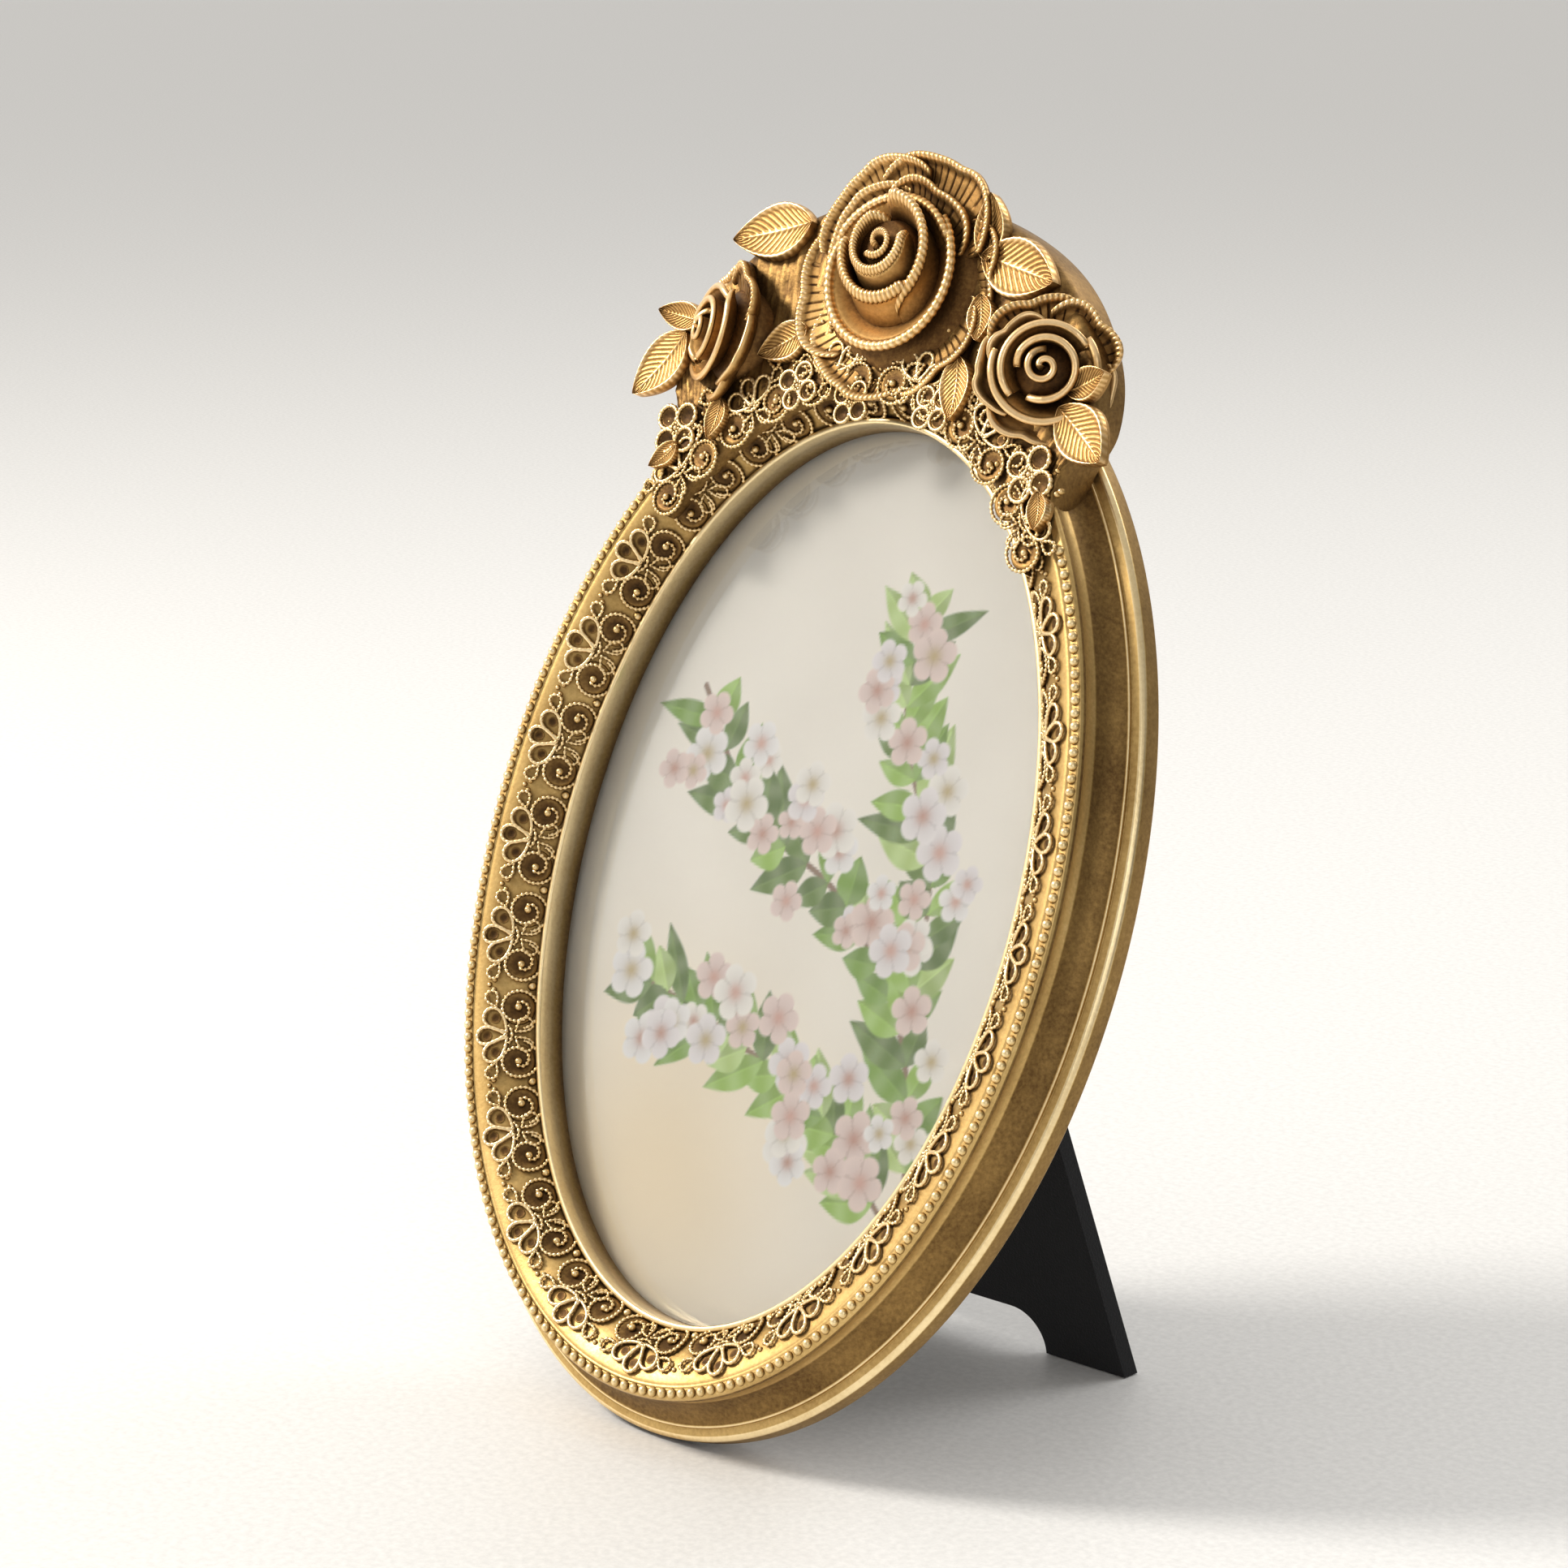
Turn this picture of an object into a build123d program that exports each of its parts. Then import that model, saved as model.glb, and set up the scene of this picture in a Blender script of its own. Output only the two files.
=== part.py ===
from build123d import *
import math
import os

# An oval table frame for a 4 by 6 inch print: a cast, gilt moulding with a crest of
# three roses, and a velvet back with a folding strut. Everything but the strut is
# drawn square on first (X right, Y towards the back, Z up the picture, zero at the
# middle of the sight edge) and is then leaned back onto its strut.

# Driving dimensions, in millimetres
sight_half_width = 46.0
sight_half_height = 70.0
glass_thickness = 2.0
print_thickness = 0.3
card_thickness = 1.0
backboard_thickness = 2.5
velvet_thickness = 0.5
pane_lap = 3.2
pane_play = 0.4

# How the frame stands
lean_angle = 21.4
strut_open_angle = 29.9
standing_flat = 0.5
overrun = 5.0

# Sight collar, the smooth ring round the opening
collar_width = 1.0
collar_depth = 5.3
collar_edge_round = 0.4

# Moulding section: reaches are outward from the sight edge, depths are towards the back
band_floor_depth = 1.2
band_reach = 9.7
band_bulge = 1.3
ridge_rise = 5.0
bead_seat_width = 1.6
ridge_edge_drop = 0.7
cove_reach = 14.6
cove_depth = 2.0
cove_hollow = 1.3
ledge_width = 0.4
ledge_step = 0.6
side_reach = 17.0
side_round = 0.6
flange_fall = 0.2
flange_rear_depth = 7.1
plinth_reach = 11.0
plinth_draft = 0.6

# Beads, filigree and studs on the moulding
bead_radius = 0.78
bead_count = 226
bead_sink = 0.33
filigree_count = 25
filigree_thickness = 0.75
filigree_inner_reach = 1.9
filigree_outer_reach = 9.3
stud_radius = 0.65
stud_gap = 0.3
stud_reach = 2.6

# Crest: the bed of the casting, and the height that it starts at
crest_half_width = 45.0
crest_top = 105.0
crest_foot = 55.5
crest_bed_rise = 5.6
crest_bed_rear_depth = 2.0
crest_inner_reach = 3.6
crest_edge_bevel = 1.2

# Roses: radius of the open petals, radius at the cup's rim, and heights
centre_rose_radius = 19.5
centre_rose_height = 91.5
side_rose_radius = 10.8
side_rose_offset = 32.3
side_rose_height = 79.7
side_rose_tilt = 30.0
petal_thickness = 1.5
centre_cup_height = 3.6
centre_bud_height = 3.8
side_cup_height = 3.4
side_bud_height = 2.6
side_root_depth = 6.0
rose_wall = 1.4

# Leaves and small blossoms
leaf_thickness = 1.3
blossom_petal_radius = 2.3
blossom_petal_spread = 2.5
blossom_thickness = 0.9
blossom_heart_radius = 0.9
blossom_petal_count = 4

# Turn buttons on the back
button_thickness = 0.9
button_root_radius = 3.0
button_tip_radius = 1.9
button_length = 6.6
button_reach = 7.4
button_gap = 0.3
button_hole_play = 0.08
screw_shank_radius = 1.2
screw_shank_length = 4.6
screw_head_radius = 2.4
screw_head_height = 1.2
screw_slot_width = 0.6
screw_slot_depth = 0.5
upper_button_angle = 38.0
lower_button_angle = -28.0

# Strut and its hinge
hinge_height = 32.0
hinge_leaf_thickness = 0.8
hinge_half_width = 10.0
hinge_leaf_length = 14.0
moving_leaf_half_width = 8.5
knuckle_radius = 1.9
knuckle_half_width = 5.2
knuckle_gap = 0.3
pin_radius = 0.8
pin_play = 0.05
pin_head_radius = 1.3
pin_head_length = 0.6
stop_length = 3.1
stop_thickness = 1.0
stop_gap = 0.06
back_gap = 0.3
rivet_radius = 1.2
rivet_head_radius = 2.0
rivet_head_height = 0.8
rivet_spacing = 10.0
rivet_drop = 9.0
strut_thickness = 3.0
strut_cover = 0.4
strut_top_half_width = 11.5
strut_foot_half_width = 37.5
strut_top_round = 3.0
strut_top_drop = 2.4
arch_half_width = 21.5
arch_height = 7.0
arch_round = 6.5

# Depths of the layers behind the glass
glass_rear = collar_depth + glass_thickness
print_rear = glass_rear + print_thickness
card_rear = print_rear + card_thickness
backboard_rear = card_rear + backboard_thickness
back_depth = backboard_rear + velvet_thickness

# The lean: the lowest corner of the moulding's side is cut flat by standing_flat
lean = math.radians(lean_angle)
side_rear_depth = flange_rear_depth - side_round
foot_corner = sight_half_height + side_reach
ground_shift = foot_corner * math.cos(lean) + side_rear_depth * math.sin(lean) - standing_flat
back_shift = foot_corner * math.sin(lean) - side_rear_depth * math.cos(lean)
leaned = Location((0, back_shift, ground_shift)) * Rot(-lean_angle, 0, 0)
room = Box(
    4 * foot_corner, 4 * foot_corner, foot_corner,
    align=(Align.CENTER, Align.CENTER, Align.MAX),
)

# The hinge pin, in the frame as drawn and as it stands
pin_depth = back_depth + knuckle_radius + back_gap
strut_front = -knuckle_radius
strut_rear = strut_front + strut_thickness
pin_back = pin_depth * math.cos(lean) + hinge_height * math.sin(lean) + back_shift
pin_height = hinge_height * math.cos(lean) - pin_depth * math.sin(lean) + ground_shift
strut_tilt = strut_open_angle - lean_angle
strut_length = pin_height / math.cos(math.radians(strut_tilt))
opened = Location((0, pin_back, pin_height)) * Rot(strut_tilt, 0, 0)


def keep(name, shape, place=leaned, stands=False):
    """Puts a drawn piece in its standing place and writes it as one sub-part."""
    piece = place * shape
    if stands:
        piece = piece - room
    solids = piece.solids()
    print(name, len(solids), "solids", round(sum(s.volume for s in solids), 1))
    whole = solids[0] if len(solids) == 1 else Compound(children=list(solids))
    export_step(whole, f"parts/{name}.step")


def ring_point(turn, reach):
    """A point on the ring at a turn in degrees, a reach outward of the sight edge."""
    along = math.radians(turn)
    x = sight_half_width * math.cos(along)
    z = sight_half_height * math.sin(along)
    outward = normal_angle(turn)
    return x + reach * math.cos(outward), z + reach * math.sin(outward)


def normal_angle(turn):
    """The outward direction at a turn of the sight ellipse, in radians from X."""
    along = math.radians(turn)
    return math.atan2(sight_half_width * math.sin(along), sight_half_height * math.cos(along))


def even_turns(count, reach):
    """Turns that divide the ring at a reach into equal lengths, from its lowest point."""
    steps_per_piece = 24
    steps = count * steps_per_piece
    walk = [ring_point(-90 + 360 * i / steps, reach) for i in range(steps + 1)]
    lengths = [0]
    for a, b in zip(walk, walk[1:]):
        lengths.append(lengths[-1] + math.dist(a, b))
    turns = []
    for i in range(count):
        target = lengths[-1] * i / count
        nearest = min(range(steps), key=lambda k: abs(lengths[k] - target))
        turns.append(-90 + 360 * nearest / steps)
    return turns


def oval(reach, thickness, front):
    """An oval plate that laps the sight edge by a reach."""
    outline = Ellipse(sight_half_width + reach, sight_half_height + reach)
    return Pos(0, front, 0) * Rot(-90, 0, 0) * extrude(outline, thickness)


def swept_ring(profile):
    """Sweeps a section, drawn from the sight edge, once round the sight ellipse."""
    path = Edge.make_ellipse(sight_half_width, sight_half_height, plane=Plane.XZ)
    return sweep(Pos(sight_half_width, 0, 0) * profile, path=path)


def bulged(start, end, bulge):
    """The middle point of an arc that bulges to the left of the way from start to end."""
    run, rise = end[0] - start[0], end[1] - start[1]
    length = math.hypot(run, rise)
    middle_x = (start[0] + end[0]) / 2 - bulge * rise / length
    middle_y = (start[1] + end[1]) / 2 + bulge * run / length
    return middle_x, middle_y


band_start = (collar_width, band_floor_depth)
band_end = (band_reach, -ridge_rise)
band_middle = bulged(band_start, band_end, -band_bulge)
ridge_reach = band_reach + bead_seat_width


def moulding_section():
    ridge = (ridge_reach, -ridge_rise)
    cove_start = (ridge_reach + ridge_edge_drop / 2, -ridge_rise + ridge_edge_drop)
    cove_end = (cove_reach, cove_depth)
    ledge = (cove_reach + ledge_width, cove_depth)
    ledge_foot = (cove_reach + ledge_width, cove_depth + ledge_step)
    flange_edge = (side_reach - side_round, cove_depth + ledge_step + flange_fall)
    side_front = (side_reach, cove_depth + ledge_step + flange_fall + side_round)
    side_rear = (side_reach, side_rear_depth)
    rear_edge = (side_reach - side_round, flange_rear_depth)
    plinth_foot = (plinth_reach + plinth_draft, flange_rear_depth)
    plinth_edge = (plinth_reach, back_depth)
    pocket = pane_lap + pane_play
    lines = [
        Line((collar_width, collar_depth), band_start),
        ThreePointArc(band_start, band_middle, band_end),
        Line(band_end, ridge),
        Line(ridge, cove_start),
        ThreePointArc(cove_start, bulged(cove_start, cove_end, cove_hollow), cove_end),
        Polyline(cove_end, ledge, ledge_foot, flange_edge, side_front, side_rear, rear_edge,
                 plinth_foot, plinth_edge, (pocket, back_depth), (pocket, collar_depth),
                 (collar_width, collar_depth)),
    ]
    return make_face(lines)


def screw_places():
    """Turn and place of each turn button's screw, anticlockwise from the upper right."""
    turns = [upper_button_angle, 180 - upper_button_angle, 180 - lower_button_angle, lower_button_angle]
    return [(turn, ring_point(turn, button_reach)) for turn in turns]


def frame_moulding():
    body = swept_ring(moulding_section())
    hole_depth = screw_shank_length - button_gap - button_thickness - button_gap
    for turn, (x, z) in screw_places():
        hole = Cylinder(screw_shank_radius, 2 * hole_depth, rotation=(90, 0, 0))
        body = body - Pos(x, back_depth, z) * hole
    return body


def sight_collar():
    inner_front = (0, collar_edge_round)
    outer_front = (collar_width, collar_edge_round)
    lines = [
        Line((0, collar_depth), inner_front),
        ThreePointArc(inner_front, (collar_width / 2, 0), outer_front),
        Polyline(outer_front, (collar_width, collar_depth), (0, collar_depth)),
    ]
    return swept_ring(make_face(lines))


def bead_row():
    dome = Sphere(bead_radius) - Pos(0, bead_sink, 0) * Box(
        4 * bead_radius, 4 * bead_radius, 4 * bead_radius,
        align=(Align.CENTER, Align.MIN, Align.CENTER),
    )
    beads = []
    reach = band_reach + bead_seat_width / 2
    for turn in even_turns(bead_count, reach):
        x, z = ring_point(turn, reach)
        if z < crest_foot - bead_radius:
            beads.append(Pos(x, -ridge_rise - bead_sink, z) * dome)
    return Compound(children=beads)


def on_band(reach, rise):
    """The point at a reach on the band's face, raised square to that face."""
    ax, ay = band_start
    bx, by = band_middle
    cx, cy = band_end
    d = 2 * (ax * (by - cy) + bx * (cy - ay) + cx * (ay - by))
    a2, b2, c2 = ax * ax + ay * ay, bx * bx + by * by, cx * cx + cy * cy
    ux = (a2 * (by - cy) + b2 * (cy - ay) + c2 * (ay - by)) / d
    uy = (a2 * (cx - bx) + b2 * (ax - cx) + c2 * (bx - ax)) / d
    radius = math.hypot(ax - ux, ay - uy)
    sine = (reach - ux) / radius
    return ux + (radius + rise) * sine, uy - (radius + rise) * math.sqrt(1 - sine * sine)


def band_layer(foot, thickness, inner, outer):
    """A layer whose foot stands off the band, between two reaches, swept round the ring."""
    middle = (inner + outer) / 2
    top = foot + thickness
    lines = [
        ThreePointArc(on_band(inner, foot), on_band(middle, foot), on_band(outer, foot)),
        Line(on_band(outer, foot), on_band(outer, top)),
        ThreePointArc(on_band(outer, top), on_band(middle, top), on_band(inner, top)),
        Line(on_band(inner, top), on_band(inner, foot)),
    ]
    return swept_ring(make_face(lines))


# One filigree unit: centres and half sizes of its lobes, as shares of half the unit's
# length along the ring and of the band's width across it, with a turn in degrees
filigree_lobe_shares = [
    (-0.53, -0.05, 0.33, 0.34, 0), (0.53, -0.05, 0.33, 0.34, 0),
    (-0.26, -0.30, 0.15, 0.21, 35), (0.26, -0.30, 0.15, 0.21, -35),
    (0, 0.26, 0.12, 0.24, 0),
    (-0.34, 0.24, 0.12, 0.24, 32), (0.34, 0.24, 0.12, 0.24, -32),
    (0, -0.06, 0.30, 0.10, 0),
]


def ring_prism(outline, turn, reach):
    """Raises an outline, drawn with Y outward, through the moulding's front at a turn."""
    x, z = ring_point(turn, reach)
    face_turn = math.degrees(normal_angle(turn)) - 90
    prism = extrude(Rot(0, 0, face_turn) * outline, 2 * (ridge_rise + overrun), both=True)
    return Pos(x, 0, z) * Rot(90, 0, 0) * prism


def ornament_turns(limit):
    return [t for t in even_turns(filigree_count, band_reach / 2) if ring_point(t, band_reach)[1] < limit]


def filigree_border():
    middle = (filigree_inner_reach + filigree_outer_reach) / 2
    across = filigree_outer_reach - filigree_inner_reach
    size = (sight_half_width + middle, sight_half_height + middle)
    unit_half = math.pi * math.hypot(*size) / math.sqrt(2) / filigree_count
    outline = Sketch()
    for x, y, half_x, half_y, turn in filigree_lobe_shares:
        lobe = Rot(0, 0, turn) * Ellipse(half_x * unit_half, half_y * across)
        outline += Pos(x * unit_half, y * across, 0) * lobe
    layer = band_layer(0, filigree_thickness, filigree_inner_reach, filigree_outer_reach)
    units = []
    for turn in ornament_turns(crest_foot):
        units += (layer & ring_prism(outline, turn, middle)).solids()
    return Compound(children=units)


def border_studs():
    """Balls between the filigree units, each a small gap off the band's face."""
    half_step = 180 / filigree_count
    reach, depth = on_band(stud_reach, stud_radius + stud_gap)
    studs = []
    for turn in ornament_turns(crest_foot):
        x, z = ring_point(turn + half_step, reach)
        studs.append(Pos(x, depth, z) * Sphere(stud_radius))
    return Compound(children=studs)


# Right half of the crest bed's outline, from its foot to its top, as shares of
# crest_half_width and of the height from crest_foot to crest_top
crest_outline_shares = [
    (0.86, 0.0), (0.865, 0.10), (0.875, 0.22), (0.93, 0.36), (0.89, 0.54),
    (0.74, 0.735), (0.54, 0.87), (0.27, 0.965), (0.0, 1.0),
]


def crest_bed(moulding):
    height = crest_top - crest_foot
    right = [(x * crest_half_width, crest_foot + z * height) for x, z in crest_outline_shares]
    left = [(-x, z) for x, z in reversed(right[:-1])]
    curve = Spline(right + left)
    outline = make_face([curve, Line(left[-1], right[0])])
    inner = Ellipse(sight_half_width + crest_inner_reach, sight_half_height + crest_inner_reach)
    plan = outline - inner
    thickness = crest_bed_rise + crest_bed_rear_depth
    slab = extrude(plan, thickness)
    slab = chamfer(slab.faces().sort_by(Axis.Z)[-1].edges(), crest_edge_bevel)
    slab = Pos(0, crest_bed_rear_depth, 0) * Rot(90, 0, 0) * slab
    bed = slab - moulding
    return bed.solids().sort_by(SortBy.VOLUME)[-1]


# Petals as shares of the rose's radius: ring radius, petal radius, first turn, count
petal_ring_shares = [(0.55, 0.45, 90, 5), (0.42, 0.38, 54, 5)]
cup_foot_share = 0.44
cup_rim_share = 0.60
bud_foot_share = 0.34
bud_tip_share = 0.24


def rose_petals(radius):
    """The open petals: two rings of lobes, each one petal thick, growing towards +Z."""
    whole = None
    for level, (ring, petal, first, count) in enumerate(petal_ring_shares):
        plan = Circle(ring * radius)
        for i in range(count):
            plan += Rot(0, 0, first + 360 * i / count) * Pos(ring * radius, 0, 0) * Circle(petal * radius)
        layer = Pos(0, 0, level * petal_thickness) * extrude(plan, petal_thickness)
        whole = layer if whole is None else whole + layer
    return whole


def rose_cup(radius, height):
    """The cup of inner petals: a flared wall round a floor."""
    outer = Cone(cup_foot_share * radius, cup_rim_share * radius, height,
                 align=(Align.CENTER, Align.CENTER, Align.MIN))
    hollow = Cone(cup_foot_share * radius - rose_wall, cup_rim_share * radius - rose_wall, height,
                  align=(Align.CENTER, Align.CENTER, Align.MIN))
    return outer - Pos(0, 0, rose_wall) * hollow


def rose_bud(radius, height):
    """The rolled heart of the rose, with the dimple of its spiral."""
    body = Cone(bud_foot_share * radius, bud_tip_share * radius, height,
                align=(Align.CENTER, Align.CENTER, Align.MIN))
    dimple = Sphere(bud_tip_share * radius / 2)
    return body - Pos(0, 0, height) * dimple


def facing(x, z, depth, tilt):
    """Places a rose: its axis faces the viewer, turned outward by a tilt."""
    return Pos(x, depth, z) * Rot(0, 0, tilt) * Rot(90, 0, 0)


def centre_rose():
    place = facing(0, centre_rose_height, -crest_bed_rise, 0)
    petals = place * rose_petals(centre_rose_radius)
    seat = len(petal_ring_shares) * petal_thickness
    cup = place * Pos(0, 0, seat) * rose_cup(centre_rose_radius, centre_cup_height)
    bud = place * Pos(0, 0, seat + rose_wall) * rose_bud(centre_rose_radius, centre_bud_height)
    return petals, cup, bud


def side_rose(side, bed, moulding):
    """side is 1 for the right-hand rose and -1 for the left-hand one."""
    place = facing(side * side_rose_offset, side_rose_height, -crest_bed_rise, side * side_rose_tilt)
    seat = len(petal_ring_shares) * petal_thickness
    root = extrude(Circle(petal_ring_shares[0][0] * side_rose_radius), -side_root_depth)
    petals = place * (rose_petals(side_rose_radius) + root) - bed - moulding
    petals = petals.solids().sort_by(SortBy.VOLUME)[-1]
    cup = place * Pos(0, 0, seat) * rose_cup(side_rose_radius, side_cup_height)
    bud = place * Pos(0, 0, seat + rose_wall) * rose_bud(side_rose_radius, side_bud_height)
    return petals, cup, bud


# Leaves, as shares of crest_half_width and of the height from crest_foot to crest_top
# for the base, then a turn in degrees for the tip and shares of crest_half_width for
# the length and the width
right_leaf_shares = [
    (0.34, 0.82, -12, 0.33, 0.20), (0.37, 0.80, 100, 0.23, 0.13), (0.82, 0.38, -35, 0.27, 0.18),
    (0.83, 0.43, 27, 0.15, 0.11), (0.34, 0.51, -79, 0.23, 0.12), (0.38, 0.70, -75, 0.17, 0.11),
    (0.82, 0.13, -75, 0.13, 0.08),
]
left_leaf_shares = [
    (-0.44, 0.87, 196, 0.34, 0.20), (-0.90, 0.47, 236, 0.30, 0.18), (-0.34, 0.54, 214, 0.22, 0.14),
    (-0.83, 0.52, 174, 0.20, 0.11), (-0.66, 0.28, 270, 0.15, 0.09), (-0.81, 0.12, 228, 0.13, 0.08),
]


def leaf(length, width):
    """A pointed leaf that lies along +X from its base."""
    half = width / 2
    edge_up = ThreePointArc((0, 0), (length / 2, half), (length, 0))
    edge_down = ThreePointArc((length, 0), (length / 2, -half), (0, 0))
    return extrude(make_face([edge_up, edge_down]), leaf_thickness)


def crest_leaves(shares, cutters):
    height = crest_top - crest_foot
    leaves = []
    for x, z, turn, length, width in shares:
        place = Pos(x * crest_half_width, -crest_bed_rise, crest_foot + z * height) * Rot(90, 0, 0)
        piece = place * Rot(0, 0, turn) * leaf(length * crest_half_width, width * crest_half_width)
        for cutter in cutters + leaves:
            piece = piece - cutter
        leaves.append(piece.solids().sort_by(SortBy.VOLUME)[-1])
    return leaves


# Centres of the small blossoms, as shares like those of the leaves, with a turn
blossom_shares = [(-0.84, 0.17, 10), (0.76, 0.18, 20), (0.28, 0.34, 0), (-0.33, 0.35, 30), (-0.08, 0.32, 15)]


def small_blossoms(cutters):
    height = crest_top - crest_foot
    plan = Circle(blossom_petal_spread)
    for i in range(blossom_petal_count):
        petal_turn = 360 * (i + 0.5) / blossom_petal_count
        plan += Rot(0, 0, petal_turn) * Pos(blossom_petal_spread, 0, 0) * Circle(blossom_petal_radius)
    heart = Pos(0, 0, blossom_thickness) * Sphere(blossom_heart_radius)
    flower = extrude(plan, blossom_thickness) + heart
    blossoms = []
    for x, z, turn in blossom_shares:
        place = Pos(x * crest_half_width, -crest_bed_rise, crest_foot + z * height) * Rot(90, 0, 0)
        piece = place * Rot(0, 0, turn) * flower
        for cutter in cutters:
            piece = piece - cutter
        blossoms.append(piece.solids().sort_by(SortBy.VOLUME)[-1])
    return Compound(children=blossoms)


def rivet_sites():
    return [-rivet_spacing / 2, rivet_spacing / 2]


def rivet(length):
    """A rivet along +Y: its domed head sits at zero and its shank runs to -Y."""
    shank = Cylinder(rivet_radius, length, rotation=(90, 0, 0), align=(Align.CENTER, Align.CENTER, Align.MIN))
    dome_radius = (rivet_head_radius ** 2 + rivet_head_height ** 2) / (2 * rivet_head_height)
    dome = Sphere(dome_radius) & Pos(0, dome_radius - rivet_head_height, 0) * Box(
        4 * dome_radius, 2 * dome_radius, 4 * dome_radius, align=(Align.CENTER, Align.MIN, Align.CENTER),
    )
    return shank + Pos(0, rivet_head_height - dome_radius, 0) * dome


def riveted(plate, depth, height):
    """Drills a plate of the back for the two rivets of the fixed hinge leaf."""
    for x in rivet_sites():
        hole = Cylinder(rivet_radius, 4 * back_depth, rotation=(90, 0, 0))
        plate = plate - Pos(x, depth, height) * hole
    return plate


def turn_button(turn, x, z):
    """A flat button whose narrow end points in over the backboard."""
    root = Circle(button_root_radius)
    tip = Pos(button_length, 0, 0) * Circle(button_tip_radius)
    lean_in = math.asin((button_root_radius - button_tip_radius) / button_length)
    side = [
        (button_root_radius * math.sin(lean_in), button_root_radius * math.cos(lean_in)),
        (button_length + button_tip_radius * math.sin(lean_in), button_tip_radius * math.cos(lean_in)),
    ]
    web = make_face(Polyline(side[0], side[1], (side[1][0], -side[1][1]), (side[0][0], -side[0][1]), side[0]))
    plan = root + tip + web - Circle(screw_shank_radius + button_hole_play)
    inward = math.degrees(normal_angle(turn)) + 180
    blade = extrude(Rot(0, 0, inward) * plan, -button_thickness)
    return Pos(x, back_depth + button_gap, z) * Rot(90, 0, 0) * blade


def button_screw():
    """A slotted screw whose head clears the button by the same gap as its back."""
    top = button_gap + button_thickness + button_gap
    shank = Pos(0, top, 0) * Cylinder(screw_shank_radius, screw_shank_length, rotation=(90, 0, 0),
                                      align=(Align.CENTER, Align.CENTER, Align.MIN))
    head = Pos(0, top, 0) * Cylinder(screw_head_radius, screw_head_height, rotation=(-90, 0, 0),
                                     align=(Align.CENTER, Align.CENTER, Align.MIN))
    rim = head.faces().sort_by(Axis.Y)[-1].edges()
    head = fillet(rim, screw_head_height / 2)
    slot = Pos(0, top + screw_head_height, 0) * Box(2 * screw_head_radius, 2 * screw_slot_depth, screw_slot_width)
    return shank + head - slot


def hinge_fixed_leaf():
    """Plate and two outer knuckles, drawn round the pin."""
    rear = -knuckle_radius - back_gap + hinge_leaf_thickness
    plate = Pos(0, rear, 0) * Box(2 * hinge_half_width, hinge_leaf_thickness, hinge_leaf_length,
                                  align=(Align.CENTER, Align.MAX, Align.MIN))
    barrel = Cylinder(knuckle_radius, 2 * hinge_half_width, rotation=(0, 90, 0))
    clear_half = knuckle_half_width + knuckle_gap
    slot = Box(2 * clear_half, 4 * knuckle_radius, 2 * (knuckle_radius + knuckle_gap))
    slot_reach = math.sqrt((knuckle_radius + knuckle_gap) ** 2 - rear ** 2)
    notch = Box(2 * clear_half, 4 * knuckle_radius, 2 * slot_reach)
    bore = Cylinder(pin_radius, 4 * hinge_half_width, rotation=(0, 90, 0))
    leaf_plate = riveted(plate - notch, 0, rivet_drop)
    return leaf_plate + (barrel - slot) - bore


def hinge_moving_leaf():
    """Plate and middle knuckle, drawn with the strut hanging down from the pin."""
    plate = Pos(0, strut_rear, 0) * Box(2 * moving_leaf_half_width, hinge_leaf_thickness, hinge_leaf_length,
                                        align=(Align.CENTER, Align.MIN, Align.MAX))
    wings = Box(4 * hinge_half_width, 4 * knuckle_radius, 2 * (knuckle_radius + knuckle_gap))
    wings = wings - Box(2 * knuckle_half_width, 4 * knuckle_radius, 4 * knuckle_radius)
    barrel = Cylinder(knuckle_radius, 2 * knuckle_half_width, rotation=(0, 90, 0))
    for x in rivet_sites():
        hole = Cylinder(rivet_radius, 4 * strut_thickness, rotation=(90, 0, 0))
        plate = plate - Pos(x, strut_rear, -rivet_drop) * hole
    return plate - wings + barrel


def stop_lug():
    """The lug that meets the fixed leaf when the strut is open, drawn with the frame."""
    rear_face = -knuckle_radius - back_gap + hinge_leaf_thickness + stop_gap
    return Pos(0, rear_face, 0) * Box(2 * knuckle_half_width, stop_thickness, stop_length,
                                      align=(Align.CENTER, Align.MIN, Align.MIN))


def hinge_pin():
    length = 2 * hinge_half_width
    shank = Cylinder(pin_radius, length, rotation=(0, 90, 0))
    head = Cylinder(pin_head_radius, pin_head_length, rotation=(0, 90, 0), align=(Align.CENTER, Align.CENTER, Align.MIN))
    return shank + Pos(hinge_half_width, 0, 0) * head + Pos(-hinge_half_width, 0, 0) * mirror(head, Plane.YZ)


def strut_plan(inset):
    """The strut's outline below the pin, drawn in by an inset, down past the ground."""
    top = -strut_top_drop - inset
    foot = -strut_length - overrun
    slope = (strut_foot_half_width - strut_top_half_width) / (strut_length - strut_top_drop)
    half_top = strut_top_half_width - inset + slope * inset
    half_foot = strut_foot_half_width - inset + slope * overrun
    board = make_face(Polyline((-half_top, top), (half_top, top), (half_foot, foot), (-half_foot, foot), (-half_top, top)))
    corners = board.vertices().sort_by(Axis.Y)[-2:]
    board = fillet(corners, strut_top_round)
    arch_half = arch_half_width + inset
    arch_top = arch_height + inset + overrun
    arch = Pos(0, foot, 0) * Rectangle(2 * arch_half, arch_top, align=(Align.CENTER, Align.MIN))
    arch = fillet(arch.vertices().sort_by(Axis.Y)[-2:], arch_round)
    return board - arch


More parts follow.
